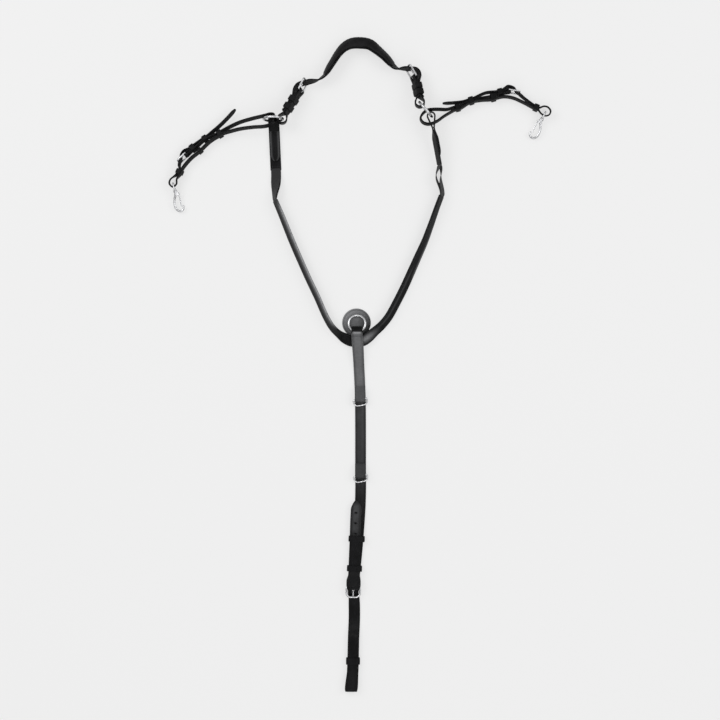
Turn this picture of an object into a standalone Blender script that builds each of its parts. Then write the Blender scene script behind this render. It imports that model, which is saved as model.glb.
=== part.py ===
"""Hunting breastplate for a horse, laid out on a flat surface with its outer face up.

Metres, +Z up, and z = 0 is the surface that it lies on. The origin is the centre of the chest
disc's flat back. +Y runs up towards the withers and +X to the right of the layout.
"""

import math

import bmesh
import bpy
import numpy as np
from mathutils import Matrix

# Clearances
GAP = 0.0003
FLOOR_GAP = 0.0002

# Chest
DISC_RADIUS = 0.030
DISC_THICK = 0.0035
CHEST_RING_RADIUS = 0.0175
CHEST_RING_WIRE = 0.0025
CHEST_RING_DROP = 0.0018

# Shoulders
SHOULDER_WIDTH = 0.023
SHOULDER_THICK = 0.005
ELASTIC_WIDTH = 0.020
ELASTIC_THICK = 0.0016
TAB_WIDTH = 0.023
TAB_THICK = 0.0032
TAB_LENGTH = 0.103
TAB_FRONT_LENGTH = 0.084
SHOULDER_RING_RADIUS = 0.020
SHOULDER_RING_WIRE = 0.0025

# Withers
WITHER_WIDTH = 0.028
WITHER_THICK = 0.0038
WITHER_BILLET_WIDTH = 0.019
PAD_WIDTH = 0.025
PAD_THICK = 0.006
CHAPE_THICK = 0.003
WITHER_LEAN = math.radians(10)

# Saddle straps and snap hooks
SADDLE_WIDTH = 0.013
SADDLE_THICK = 0.0032
SNAP_WIRE = 0.0015
SNAP_EYE_LENGTH = 0.0165
SNAP_EYE_SLACK = 0.001
COLLAR_RADIUS = 0.0042
COLLAR_LENGTH = 0.005
SHANK_RADIUS = 0.0019
GATE_WIRE = 0.0013
GATE_LENGTH = 0.0265
GATE_PIN = 0.0009
GATE_BARREL = 0.0015

# Girth strap
GIRTH_WIDTH = 0.0225
GIRTH_THICK = 0.0035
DEE_WIRE = 0.00175
DEE_DEPTH = 0.014
DEE_TURN = math.radians(7)
DEE_CHAPE_THICK = 0.002
DEE_CHAPE_LENGTH = 0.025
LOOP_CAVITY = 0.0034
LOOP_SKEW = 0.0004
HOLE_RADIUS = 0.0018
HOLE_PITCH = 0.022

# Keepers
KEEPER_WALL = 0.002
KEEPER_LENGTH = 0.012
SADDLE_KEEPER_WALL = 0.0016
SADDLE_KEEPER_LENGTH = 0.0105
SADDLE_KEEPER_ROOM = 0.0003

# Buckles: bar radius, bar to far bar, tongue radius, far corner radius
GIRTH_BUCKLE = dict(bar=0.002, length=0.021, tongue=0.0014, corner=0.007)
WITHER_BUCKLE = dict(bar=0.0018, length=0.026, tongue=0.0013, corner=0.004)
SADDLE_BUCKLE = dict(bar=0.0015, length=0.023, tongue=0.0011, corner=0.003)
BUCKLE_SIDE_ROOM = 0.001
BUCKLE_SWING = math.radians(6)
TONGUE_SWING = math.radians(8)

BLACK = (0.012, 0.012, 0.013)
GREY_BLACK = (0.045, 0.045, 0.048)
STEEL = (0.78, 0.78, 0.80)

UP = np.array((0.0, 0.0, 1.0))


def clear_scene():
    """Empties the file's scene and makes the two collections."""
    for thing in list(bpy.data.objects):
        bpy.data.objects.remove(thing, do_unlink=True)
    for name in ("Hunting breastplate", "Cutters"):
        group = bpy.data.collections.get(name) or bpy.data.collections.new(name)
        if group.name not in bpy.context.scene.collection.children:
            bpy.context.scene.collection.children.link(group)


def finish(thing, colour, roughness, metallic):
    """Gives an object its own Principled material."""
    material = bpy.data.materials.new(thing.name)
    material.use_nodes = True
    shader = material.node_tree.nodes["Principled BSDF"]
    shader.inputs["Base Color"].default_value = (*colour, 1.0)
    shader.inputs["Roughness"].default_value = roughness
    shader.inputs["Metallic"].default_value = metallic
    thing.data.materials.clear()
    thing.data.materials.append(material)


def leather(thing, colour=BLACK):
    finish(thing, colour, 0.5, 0.0)
    return thing


def steel(thing):
    finish(thing, STEEL, 0.15, 1.0)
    return thing


def add(name, data, cutter=False):
    """Puts new data in the scene, among the parts or the cutters."""
    thing = bpy.data.objects.new(name, data)
    group = bpy.data.collections["Cutters" if cutter else "Hunting breastplate"]
    group.objects.link(thing)
    if cutter:
        thing.hide_render = True
        thing.display_type = "WIRE"
    return thing


def unit(vector):
    vector = np.asarray(vector, float)
    return vector / np.linalg.norm(vector)


class Place:
    """A local frame on a strap: along it, out of its face, and across its width."""

    def __init__(self, origin, along, across):
        self.origin = np.asarray(origin, float)
        self.along = unit(along)
        across = np.asarray(across, float)
        self.across = unit(across - np.dot(across, self.along) * self.along)
        self.out = np.cross(self.across, self.along)

    def at(self, along, out=0.0, across=0.0):
        return self.origin + along * self.along + out * self.out + across * self.across

    def line(self, points):
        return np.array([self.at(*point) for point in points])

    def turned(self, along, out, angle):
        """The frame moved along and out, then turned about the across axis, towards out when positive."""
        direction = math.cos(angle) * self.along + math.sin(angle) * self.out
        return Place(self.at(along, out), direction, self.across)

    def matrix(self, along=0.0, out=0.0, across=0.0, x="along", y="out", z="across"):
        axes = [getattr(self, word) for word in (x, y, z)]
        origin = self.at(along, out, across)
        rows = [[axes[column][row] for column in range(3)] + [origin[row]] for row in range(3)]
        return Matrix(rows + [[0, 0, 0, 1]])


def smooth(points, per_span=16):
    """A smooth curve through rows of points; columns after the third are carried with it."""
    points = np.asarray(points, float)
    points = np.vstack([2 * points[0] - points[1], points, 2 * points[-1] - points[-2]])
    rows = []
    for i in range(1, len(points) - 2):
        corners = points[i - 1:i + 3]
        knots = np.concatenate([[0], np.cumsum(np.sqrt(np.linalg.norm(np.diff(corners[:, :3], axis=0), axis=1)))])
        t = np.linspace(knots[1], knots[2], per_span, endpoint=False)[:, None]

        def blend(a, b, low, high):
            return a * (high - t) / (high - low) + b * (t - low) / (high - low)

        a = [blend(corners[k], corners[k + 1], knots[k], knots[k + 1]) for k in range(3)]
        b = [blend(a[k], a[k + 1], knots[k], knots[k + 2]) for k in range(2)]
        rows.append(blend(b[0], b[1], knots[1], knots[2]))
    return np.vstack(rows + [points[-2:-1]])


def fine(rows, step=0.0005):
    """The same line with evenly spaced rows."""
    rows = np.asarray(rows, float)
    run = np.concatenate([[0], np.cumsum(np.linalg.norm(np.diff(rows[:, :3], axis=0), axis=1))])
    even = np.linspace(0, run[-1], max(2, int(run[-1] / step)))
    return np.column_stack([np.interp(even, run, rows[:, k]) for k in range(rows.shape[1])])


def directions(line):
    step = np.gradient(line[:, :3], axis=0)
    return step / np.linalg.norm(step, axis=1, keepdims=True)


def rolled(line, roll, side):
    """Width directions for a strap rolled from face up (0) to on edge (90 degrees), its inner edge rising.

    side is 1 where the inner edge is on the right of the line and -1 where it is on the left.
    """
    along = directions(line)
    inward = side * np.cross(along, UP)
    inward /= np.linalg.norm(inward, axis=1, keepdims=True)
    raised = np.cross(inward, along) * side
    roll = np.radians(roll)[:, None]
    return np.cos(roll) * inward + np.sin(roll) * raised


def stations(rows, miss):
    """The rows to keep so that straight runs between them miss no row by more than a given distance."""
    kept = {0, len(rows) - 1}
    spans = [(0, len(rows) - 1)]
    while spans:
        first, last = spans.pop()
        if last - first < 2:
            continue
        chord = rows[last] - rows[first]
        offset = rows[first:last + 1] - rows[first]
        size = max(float(np.dot(chord, chord)), 1e-12)
        share = np.clip(offset @ chord / size, 0, 1)[:, None]
        apart = np.linalg.norm(offset - share * chord, axis=1)
        worst = int(np.argmax(apart))
        if apart[worst] > miss:
            kept.add(first + worst)
            spans += [(first, first + worst), (first + worst, last)]
    return kept


def ribbon(name, line, across, width, thick, tip_start=0.0, tip_end=0.0, miss=0.00015, eased=True):
    """A strap: a rectangle with eased corners carried along a line.

    across is the width direction, the same all along or one for each row. A tip length draws that end in
    to a rounded point. Sections stand where a straight run would miss the line by more than miss.
    """
    along = directions(line)
    across = np.broadcast_to(np.asarray(across, float), line[:, :3].shape)
    across = across - np.sum(across * along, axis=1, keepdims=True) * along
    across = across / np.linalg.norm(across, axis=1, keepdims=True)
    width = np.broadcast_to(np.asarray(width, float), len(line)).copy()
    thick = np.broadcast_to(np.asarray(thick, float), len(line))

    length = np.concatenate([[0], np.cumsum(np.linalg.norm(np.diff(line[:, :3], axis=0), axis=1))])
    picks = stations(np.hstack([line[:, :3], 0.4 * width[:, None] * across]), miss)
    for tip, distance in ((tip_start, length), (tip_end, length[-1] - length)):
        if tip:
            width *= 0.3 + 0.7 * np.sin(np.clip(distance / tip, 0, 1) * math.pi / 2)
            for share in (0.12, 0.3, 0.6, 1.0):
                picks.add(int(np.argmin(np.abs(distance - share * tip))))
    picks = np.array(sorted(picks))

    ease = 0.22 * thick[picks, None]
    half_width = width[picks, None] / 2
    half_thick = thick[picks, None] / 2
    w = np.hstack([-half_width + ease, half_width - ease, half_width, half_width,
                   half_width - ease, -half_width + ease, -half_width, -half_width])
    n = np.hstack([-half_thick, -half_thick, -half_thick + ease, half_thick - ease,
                   half_thick, half_thick, half_thick - ease, -half_thick + ease])
    if not eased:
        w = np.hstack([-half_width, half_width, half_width, -half_width])
        n = np.hstack([-half_thick, -half_thick, half_thick, half_thick])
    normal = np.cross(along[picks], across[picks])
    corners = (line[picks, None, :3] + w[:, :, None] * across[picks, None, :] + n[:, :, None] * normal[:, None, :])
    sides = corners.shape[1]
    faces = [tuple(reversed(range(sides)))]
    for i in range(len(picks) - 1):
        for k in range(sides):
            after = (k + 1) % sides
            faces.append((i * sides + k, i * sides + after, (i + 1) * sides + after, (i + 1) * sides + k))
    faces.append(tuple(range((len(picks) - 1) * sides, len(picks) * sides)))
    mesh = bpy.data.meshes.new(name)
    mesh.from_pydata(corners.reshape(-1, 3).tolist(), [], faces)
    mesh.shade_smooth()
    mesh.set_sharp_from_angle(angle=math.radians(35))
    return add(name, mesh)


def wrap(start, centre, radius, end, turn, steps=20):
    """Points from start, round a circle and on to end; turn is 1 anticlockwise and -1 clockwise."""
    start, centre, end = (np.asarray(point, float) for point in (start, centre, end))
    to_start = start - centre
    to_end = end - centre
    first = math.atan2(to_start[1], to_start[0]) + turn * math.acos(radius / np.linalg.norm(to_start))
    last = math.atan2(to_end[1], to_end[0]) - turn * math.acos(radius / np.linalg.norm(to_end))
    sweep = (turn * (last - first)) % (2 * math.pi)
    angles = first + turn * np.linspace(0, sweep, steps)
    arc = [tuple(centre + radius * np.array((math.cos(a), math.sin(a)))) for a in angles]
    return [tuple(start)] + arc + [tuple(end)]


def wire(name, points, radius, closed=False, radii=None, sides=2):
    """A bent wire: a poly curve with a round bevel."""
    curve = bpy.data.curves.new(name, "CURVE")
    curve.dimensions = "3D"
    curve.bevel_depth = radius
    curve.bevel_resolution = sides
    curve.use_fill_caps = not closed
    curve.twist_mode = "MINIMUM"
    spline = curve.splines.new("POLY")
    spline.points.add(len(points) - 1)
    for i, point in enumerate(points):
        spline.points[i].co = (*point, 1.0)
        spline.points[i].radius = radii[i] / radius if radii is not None else 1.0
    spline.use_cyclic_u = closed
    spline.use_smooth = True
    return add(name, curve)


def solid(thing):
    """Turns a curve object into a closed mesh object, so that it can be cut or joined."""
    name = thing.name
    bpy.context.view_layer.update()
    graph = bpy.context.evaluated_depsgraph_get()
    mesh = bpy.data.meshes.new_from_object(thing.evaluated_get(graph))
    build = bmesh.new()
    build.from_mesh(mesh)
    bmesh.ops.remove_doubles(build, verts=build.verts, dist=0.00001)
    bmesh.ops.recalc_face_normals(build, faces=build.faces)
    build.to_mesh(mesh)
    build.free()
    matrix = thing.matrix_world.copy()
    bpy.data.objects.remove(thing, do_unlink=True)
    made = add(name, mesh)
    made.matrix_world = matrix
    return made


def as_cutter(thing):
    """Moves an object to the cutters."""
    bpy.data.collections["Hunting breastplate"].objects.unlink(thing)
    bpy.data.collections["Cutters"].objects.link(thing)
    thing.hide_render = True
    thing.display_type = "WIRE"
    return thing


def boolean(thing, other, operation):
    modifier = thing.modifiers.new(other.name, "BOOLEAN")
    modifier.operation = operation
    modifier.object = other


def rod(name, place, radius, low, high, along=0.0, out=0.0, axis="across", sides=20, cutter=False):
    """A cylinder whose axis is one of a place's own, from low to high on it."""
    mesh = bpy.data.meshes.new(name)
    build = bmesh.new()
    bmesh.ops.create_cone(build, cap_ends=True, segments=sides, radius1=radius, radius2=radius, depth=high - low)
    build.to_mesh(mesh)
    build.free()
    thing = add(name, mesh, cutter)
    middle = (low + high) / 2
    if axis == "across":
        thing.matrix_world = place.matrix(along, out, middle)
    elif axis == "along":
        thing.matrix_world = place.matrix(along + middle, out, 0.0, "out", "across", "along")
    else:
        thing.matrix_world = place.matrix(along, out + middle, 0.0, "across", "along", "out")
    return thing


def block(name, place, low, high):
    """A cutting box between two corners given along, out and across."""
    low, high = np.asarray(low, float), np.asarray(high, float)
    mesh = bpy.data.meshes.new(name)
    build = bmesh.new()
    bmesh.ops.create_cube(build, size=1.0)
    bmesh.ops.scale(build, vec=(high - low).tolist(), verts=build.verts)
    build.to_mesh(mesh)
    build.free()
    thing = add(name, mesh, cutter=True)
    thing.matrix_world = place.matrix(*((low + high) / 2).tolist())
    return thing


def keeper(name, place, low, high, strap_width, length, wall=KEEPER_WALL, colour=BLACK):
    """A leather loop round the plies between low and high on the out axis, drawn as an outline and extruded."""
    curve = bpy.data.curves.new(name, "CURVE")
    curve.dimensions = "2D"
    curve.fill_mode = "BOTH"
    curve.extrude = length / 2
    half_out = (high - low) / 2 + GAP
    half_across = strap_width / 2 + GAP
    ease = 0.6 * wall
    for extra, corner in ((wall, ease), (0.0, 0.0)):
        a, b = half_out + extra, half_across + extra
        if corner:
            loop = [(a - corner, -b), (a, -b + corner), (a, b - corner), (a - corner, b),
                    (-a + corner, b), (-a, b - corner), (-a, -b + corner), (-a + corner, -b)]
        else:
            loop = [(a, -b), (a, b), (-a, b), (-a, -b)]
        spline = curve.splines.new("POLY")
        spline.points.add(len(loop) - 1)
        for point, (x, y) in zip(spline.points, loop):
            point.co = (x, y, 0.0, 1.0)
        spline.use_cyclic_u = True
    thing = add(name, curve)
    thing.matrix_world = place.matrix(0.0, (low + high) / 2, 0.0, "out", "across", "along")
    return leather(thing, colour)


def ring(name, centre, normal, radius, wire_radius, segments=32):
    """An O-ring."""
    bpy.ops.mesh.primitive_torus_add(
        major_radius=radius, minor_radius=wire_radius, major_segments=segments, minor_segments=8)
    thing = bpy.context.object
    for group in list(thing.users_collection):
        group.objects.unlink(thing)
    bpy.data.collections["Hunting breastplate"].objects.link(thing)
    thing.name = name
    thing.data.name = name
    frame = Place(centre, unit(np.cross(normal, (0.3, 0.9, 0.2))), normal)
    thing.matrix_world = frame.matrix()
    thing.data.shade_smooth()
    return steel(thing)


def fold_on_ring(ring_radius, ring_wire, strap_width, lean=0.0):
    """How far from a ring's centre a strap's fold sits, and the radius of the hollow that clears the curved wire."""
    outer = ring_radius + ring_wire
    inner = math.sqrt((ring_radius - ring_wire) ** 2 - (strap_width / 2) ** 2)
    hollow = (outer - inner) / 2 + strap_width / 2 * math.sin(lean) + GAP
    return (outer + inner) / 2, hollow


def rounded_loop(length, half, near, far, steps=4):
    """A buckle's outline: the bar at along = 0, the far bar at length, corners of two radii."""
    points = []
    corners = ((near, -half + near, near, math.pi, 1.5 * math.pi), (length - far, -half + far, far, 1.5 * math.pi, 2 * math.pi),
               (length - far, half - far, far, 0.0, 0.5 * math.pi), (near, half - near, near, 0.5 * math.pi, math.pi))
    for x, y, radius, first, last in corners:
        for a in np.linspace(first, last, steps):
            points.append((x + radius * math.cos(a), y + radius * math.sin(a)))
    return points


def buckle(name, place, size, strap_width):
    """A wire buckle frame, its bar on the place's origin, and its tongue, which hooks round the bar."""
    half = strap_width / 2 + BUCKLE_SIDE_ROOM + size["bar"]
    outline = rounded_loop(size["length"], half, 1.4 * size["bar"], size["corner"])
    frame = wire(name + "_buckle", place.line([(x, 0.0, y) for x, y in outline]), size["bar"], closed=True)
    hook = size["bar"] + GAP + size["tongue"]
    bend = [(hook * math.cos(a), hook * math.sin(a)) for a in np.radians(np.linspace(-20, -270, 10))]
    end = size["length"]
    reach = [(0.5 * end, hook), (end - size["bar"], hook), (end + 0.9 * size["bar"], hook - 0.3 * size["tongue"])]
    points = bend + reach
    radii = [size["tongue"]] * (len(points) - 1) + [0.6 * size["tongue"]]
    tongue = wire(name + "_tongue", place.line([(x, y, 0.0) for x, y in points]), size["tongue"], radii=radii, sides=1)
    return steel(frame), steel(tongue)


def tongue_slot(strap, place, size, thick):
    """The slot in a fold that the tongue's hook turns in."""
    reach = size["bar"] + GAP + thick + 2 * GAP
    side = size["tongue"] + 2 * GAP
    boolean(strap, block(strap.name + "_slot", place, (-1.3 * reach, -1.5 * reach, -side),
                         (1.5 * reach, 1.5 * reach, side)), "DIFFERENCE")


def tongue_hole(strap, place, size, first, last):
    """The hole that the tongue stands through, between two shares of the frame's length, with room for its swing."""
    hook = size["bar"] + GAP + size["tongue"]
    side = size["tongue"] + 2 * GAP
    swing = math.sin(BUCKLE_SWING + TONGUE_SWING) * last * size["length"]
    low = (first * size["length"], hook - size["tongue"] - 2 * GAP, -side)
    high = (last * size["length"], hook + size["tongue"] + 2 * GAP + swing, side)
    boolean(strap, block(strap.name + "_hole", place, low, high), "DIFFERENCE")


def pivot(name, location, children):
    """An empty on a joint's axis that carries the moving pieces."""
    empty = bpy.data.objects.new(name, None)
    bpy.data.collections["Hunting breastplate"].objects.link(empty)
    empty.empty_display_size = 0.01
    empty.location = [float(value) for value in location]
    bpy.context.view_layer.update()
    for child in children:
        world = child.matrix_world.copy()
        child.parent = empty
        child.matrix_parent_inverse = empty.matrix_world.inverted()
        child.matrix_world = world
    return empty


def make_chest():
    """The disc, and the ring that lies on it with its lower side in the girth strap's fold."""
    bpy.ops.mesh.primitive_cylinder_add(vertices=48, radius=DISC_RADIUS, depth=DISC_THICK)
    disc = bpy.context.object
    for group in list(disc.users_collection):
        group.objects.unlink(disc)
    bpy.data.collections["Hunting breastplate"].objects.link(disc)
    disc.name = "chest_disc"
    disc.location = (0.0, 0.0, DISC_THICK / 2)
    edge = disc.modifiers.new("eased edge", "BEVEL")
    edge.width = 0.2 * DISC_THICK
    edge.segments = 1
    edge.limit_method = "ANGLE"
    leather(disc, GREY_BLACK)

    reach, hollow = fold_on_ring(CHEST_RING_RADIUS, CHEST_RING_WIRE, GIRTH_WIDTH)
    fold_height = DISC_THICK + GAP + GIRTH_THICK + hollow
    drop = fold_height - (DISC_THICK + GAP + CHEST_RING_WIRE)
    tilt = math.asin(drop / (reach + CHEST_RING_RADIUS))
    fold = np.array((GIRTH_ROUTE[0][0], -CHEST_RING_DROP - reach * math.cos(tilt), fold_height))
    centre = fold + reach * np.array((0.0, math.cos(tilt), -math.sin(tilt)))
    chest_ring = ring("chest_ring", centre, (0.0, math.sin(tilt), math.cos(tilt)), CHEST_RING_RADIUS, CHEST_RING_WIRE)
    pivot("chest_ring_flip", fold, [chest_ring])
    return fold, hollow


# The girth strap's centreline in plan: x, y
GIRTH_ROUTE = [(0.002, -0.030), (0.003, -0.057), (0.006, -0.120), (0.008, -0.160), (0.0085, -0.225), (0.0085, -0.300),
               (0.009, -0.345), (0.0078, -0.385), (0.0055, -0.420), (0.0035, -0.450), (-0.0003, -0.490), (-0.0034, -0.520),
               (-0.0055, -0.545)]
GIRTH_BAR = (-0.0067, -0.556)
UPPER_DEE_Y = -0.160
LOWER_DEE_Y = -0.320
UPPER_KEEPER_Y = -0.453
LOWER_KEEPER_Y = -0.515
BAND_Y = -0.039


def girth_x(y):
    route = np.array(GIRTH_ROUTE)
    return float(np.interp(-y, -route[:, 1], route[:, 0]))


def make_girth_strap(fold, hollow):
    """From the ring's fold, over the chest band and down to the bar of the girth buckle."""
    band_top = DISC_THICK + GAP + SHOULDER_THICK
    flat = GIRTH_THICK / 2 + FLOOR_GAP
    raised = flat + KEEPER_WALL + GAP
    round_ring = hollow + GIRTH_THICK / 2
    back_end = (fold[1] - 0.0045, fold[2] - round_ring + 0.0004)
    over_band = (BAND_Y + SHOULDER_WIDTH / 2 - 0.002, band_top + 3 * GAP + GIRTH_THICK / 2)
    rows = [(fold[0], y, z) for y, z in wrap(back_end, fold[1:], round_ring, over_band, 1)]
    rows += [(fold[0], BAND_Y - SHOULDER_WIDTH / 2 - 0.001, over_band[1])]
    levels = [(-0.075, 0.6 * over_band[1] + 0.4 * flat), (-0.095, flat + 0.001), (-0.120, flat), (UPPER_DEE_Y, flat), (-0.225, flat),
              (-0.300, flat), (-0.345, flat), (-0.385, flat), (-0.425, raised), (UPPER_KEEPER_Y, raised),
              (-0.480, raised), (LOWER_KEEPER_Y + 0.012, raised), (LOWER_KEEPER_Y - 0.008, raised)]
    down = smooth([rows[-1]] + [(girth_x(y), y, z) for y, z in levels])
    place = girth_buckle_place()
    round_bar = GIRTH_BUCKLE["bar"] + GAP + GIRTH_THICK / 2
    ply = (GIRTH_THICK + GAP) / 2
    turn_back = wrap((-0.011, ply), (0, 0), round_bar, (-0.011, -ply), -1) + [(-0.020, -ply)]
    end = place.line([(x, y, 0.0) for x, y in turn_back])
    line = fine(np.vstack([rows[:-1], down, end]))
    at_bar = line[:, 1:2] < LOWER_KEEPER_Y
    across = np.where(at_bar, -place.across, np.array((1.0, 0.0, 0.0)))
    strap = ribbon("girth_strap", line, across, GIRTH_WIDTH, GIRTH_THICK)
    tongue_slot(strap, place, GIRTH_BUCKLE, GIRTH_THICK)
    return leather(strap, GREY_BLACK)


def girth_buckle_place():
    """The frame of the girth buckle: its bar, tipped a little so that the billet passes under the far bar."""
    height = GIRTH_BUCKLE["bar"] + GAP + GIRTH_THICK + FLOOR_GAP
    return Place((*GIRTH_BAR, height), (-0.03, -1.0, 0.10), (-1, 0, 0))


def make_girth_billet():
    """From the pointed tip, down over the buckle's bar, under its far bar and on to the doubled girth loop."""
    place = girth_buckle_place()
    size = GIRTH_BUCKLE
    stack = FLOOR_GAP + KEEPER_WALL + GAP + GIRTH_THICK + GAP + GIRTH_THICK / 2
    over_bar = size["bar"] + GAP + GIRTH_THICK + GAP + GIRTH_THICK / 2
    under_bar = -(size["bar"] + GAP + GIRTH_THICK / 2)
    flat = FLOOR_GAP + GIRTH_THICK / 2
    raised = flat + KEEPER_WALL + GAP
    upper = raised + GIRTH_THICK + GAP
    top = [(0.0015, -0.368, stack), (0.001, -0.385, stack - 0.0001), (-0.001, -0.420, stack), (-0.002, -0.453, stack),
           (-0.004, -0.490, stack), (-0.0050, -0.509, stack), (-0.0057, -0.521, stack), (-0.0062, -0.533, stack + 0.0022)]
    at_buckle = [tuple(place.at(x, y)) for x, y in (
        (-0.008, over_bar + 0.0009), (0.001, over_bar + 0.0009), (0.34 * size["length"], 0.45 * over_bar),
        (0.52 * size["length"], -0.0008), (0.70 * size["length"], under_bar - 0.0002),
        (size["length"], under_bar - 0.0006))]
    lower = [(-0.0070, -0.592, flat + 0.0012), (-0.0062, -0.610, flat), (-0.0060, -0.625, flat),
             (-0.0065, -0.642, flat + 0.6 * GIRTH_THICK), (-0.0070, -0.657, upper - 0.0004), (-0.0075, -0.680, upper),
             (-0.0080, -0.700, upper), (-0.0085, -0.728, upper)]
    rows = fine(smooth(top + at_buckle + lower))
    fold_y = -0.770
    turn = LOOP_CAVITY + GIRTH_THICK / 2
    fold = (fold_y, FLOOR_GAP + GIRTH_THICK + LOOP_CAVITY)
    loop = wrap((-0.728, upper), fold, turn, (-0.735, raised), 1)
    loop += [(-0.700, raised), (-0.668, raised)]
    shift = []
    for y, z in loop:
        skew = 0.0005 + LOOP_SKEW * min(1.0, max(-1.0, (z - fold[1]) / turn))
        shift.append((-0.0085 - skew * min(1.0, max(0.0, (-0.728 - y) / 0.04)), y, z))
    line = fine(np.vstack([rows[:-1], shift]))
    at_buckle = (line[:, 1:2] < LOWER_KEEPER_Y) & (line[:, 1:2] > LOWER_KEEPER_Y - 0.085)
    across = np.where(at_buckle, -place.across, np.array((1.0, 0.0, 0.0)))
    billet = ribbon("girth_billet", line, across, GIRTH_WIDTH, GIRTH_THICK, tip_start=0.016)
    tongue_hole(billet, place, size, 0.0, 0.68)
    for i in range(3):
        spot = Place((-0.0012 - 0.0003 * i, -0.398 - i * HOLE_PITCH, stack), (0, -1, 0), (-1, 0, 0))
        boolean(billet, rod("girth_billet_hole_%d" % i, spot, HOLE_RADIUS, -GIRTH_THICK, GIRTH_THICK, axis="out",
                            sides=12, cutter=True), "DIFFERENCE")
    return leather(billet)


def make_girth_hardware():
    """The buckle and tongue, the keepers and the sliding keeper of the girth loop."""
    place = girth_buckle_place()
    frame, tongue = buckle("girth", place, GIRTH_BUCKLE, GIRTH_WIDTH)
    pivot("girth_buckle_hinge", place.origin, [frame, tongue])
    low = FLOOR_GAP + KEEPER_WALL
    high = low + 2 * GIRTH_THICK + 3 * GAP
    for name, y, x in (("upper_girth_keeper", UPPER_KEEPER_Y, 0.0005), ("lower_girth_keeper", LOWER_KEEPER_Y, -0.0047)):
        keeper(name, Place((x, y, 0.0), (-0.04, -1, 0), (-1, 0, 0)), low + GAP, high, GIRTH_WIDTH + 0.0060, KEEPER_LENGTH)
    slider = keeper("girth_loop_keeper", Place((-0.0082, -0.709, 0.0), (0, -1, 0), (-1, 0, 0)), low + GAP, high,
                    GIRTH_WIDTH + 0.0020, KEEPER_LENGTH + 0.002)
    pivot("girth_loop_keeper_slide", slider.matrix_world.translation, [slider])


def make_dee(side, y):
    """A dee and the short chape that holds its bar on the girth strap."""
    half = GIRTH_WIDTH / 2 + BUCKLE_SIDE_ROOM + DEE_WIRE
    hollow = DEE_WIRE + GIRTH_WIDTH / 2 * math.sin(DEE_TURN) + GAP
    strap_top = FLOOR_GAP + GIRTH_THICK
    turn = hollow + DEE_CHAPE_THICK / 2
    bar = np.array((girth_x(y), y, strap_top + GAP + DEE_CHAPE_THICK + hollow))
    chape_place = Place(bar, (0, -1, 0), (-1, 0, 0))
    under = -turn
    over = under + DEE_CHAPE_THICK + GAP
    path = wrap((-DEE_CHAPE_LENGTH, over), (0, 0), turn, (-DEE_CHAPE_LENGTH + 0.001, under), -1)
    chape = ribbon(side + "_dee_chape", fine(chape_place.line([(x, z, 0) for x, z in path])), (1, 0, 0),
                   GIRTH_WIDTH - 0.001, DEE_CHAPE_THICK)
    leather(chape, GREY_BLACK)
    rest = math.asin((bar[2] - strap_top - GAP - DEE_WIRE) / DEE_DEPTH)
    flat = Place(bar, (-math.sin(DEE_TURN), -math.cos(DEE_TURN), 0), (-math.cos(DEE_TURN), math.sin(DEE_TURN), 0))
    place = flat.turned(0, 0, -rest)
    outline = rounded_loop(DEE_DEPTH, half, 1.2 * DEE_WIRE, 0.8 * DEE_DEPTH, steps=6)
    dee = steel(wire(side + "_dee", place.line([(x, 0, z) for x, z in outline]), DEE_WIRE, closed=True))
    pivot(side + "_dee_flip", bar, [dee])


# Shoulder routes from the chest: x, y, roll in degrees, height of the lower edge
LEFT_SHOULDER = [(0.0001, -0.0389, 0, 0.0039), (-0.0110, -0.0386, 0, 0.0039), (-0.0215, -0.0330, 12, 0.0030),
                 (-0.0345, -0.0245, 46, 0.0004), (-0.0500, -0.0115, 66, 0.0002), (-0.0635, 0.0110, 70, 0.0002),
                 (-0.0828, 0.0550, 70, 0.0002), (-0.0988, 0.0886, 70, 0.0002), (-0.1183, 0.1325, 70, 0.0002),
                 (-0.136, 0.174, 70, 0.0002), (-0.155, 0.222, 71, 0.0002), (-0.1700, 0.2565, 74, 0.0002)]
RIGHT_SHOULDER = [(0.0010, -0.0389, 0, 0.0039), (0.0125, -0.0386, 0, 0.0039), (0.0240, -0.0322, 10, 0.0032),
                  (0.0378, -0.0210, 40, 0.0006), (0.0525, -0.0082, 54, 0.0002), (0.0680, 0.0120, 58, 0.0002),
                  (0.0845, 0.0416, 60, 0.0002), (0.0995, 0.0712, 61, 0.0002), (0.1145, 0.1042, 62, 0.0002),
                  (0.1300, 0.1390, 64, 0.0002), (0.1439, 0.1676, 68, 0.0002), (0.1554, 0.2054, 74, 0.0002),
                  (0.1700, 0.2450, 79, 0.0002), (0.1780, 0.2660, 80, 0.0002)]


def rolled_line(rows, width, thick, side):
    """Turns x, y, roll and lower edge height into a centreline and its width directions."""
    rows = fine(smooth([(x, y, 0.0, roll, low) for x, y, roll, low in rows]))
    rows[:, 3] = np.maximum(rows[:, 3], 0.0)
    roll = np.radians(rows[:, 3])
    rows[:, 2] = rows[:, 4] + width / 2 * np.sin(roll) + thick / 2 * np.cos(roll)
    return rows[:, :3], rolled(rows, rows[:, 3], side)


def make_shoulder(side, route, inner_side):
    line, across = rolled_line(route, SHOULDER_WIDTH, SHOULDER_THICK, inner_side)
    strap = ribbon(side + "_shoulder_strap", line, across, SHOULDER_WIDTH, SHOULDER_THICK)
    leather(strap)
    return line[-1], across[-1], unit(line[-1] - line[-2])


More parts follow.
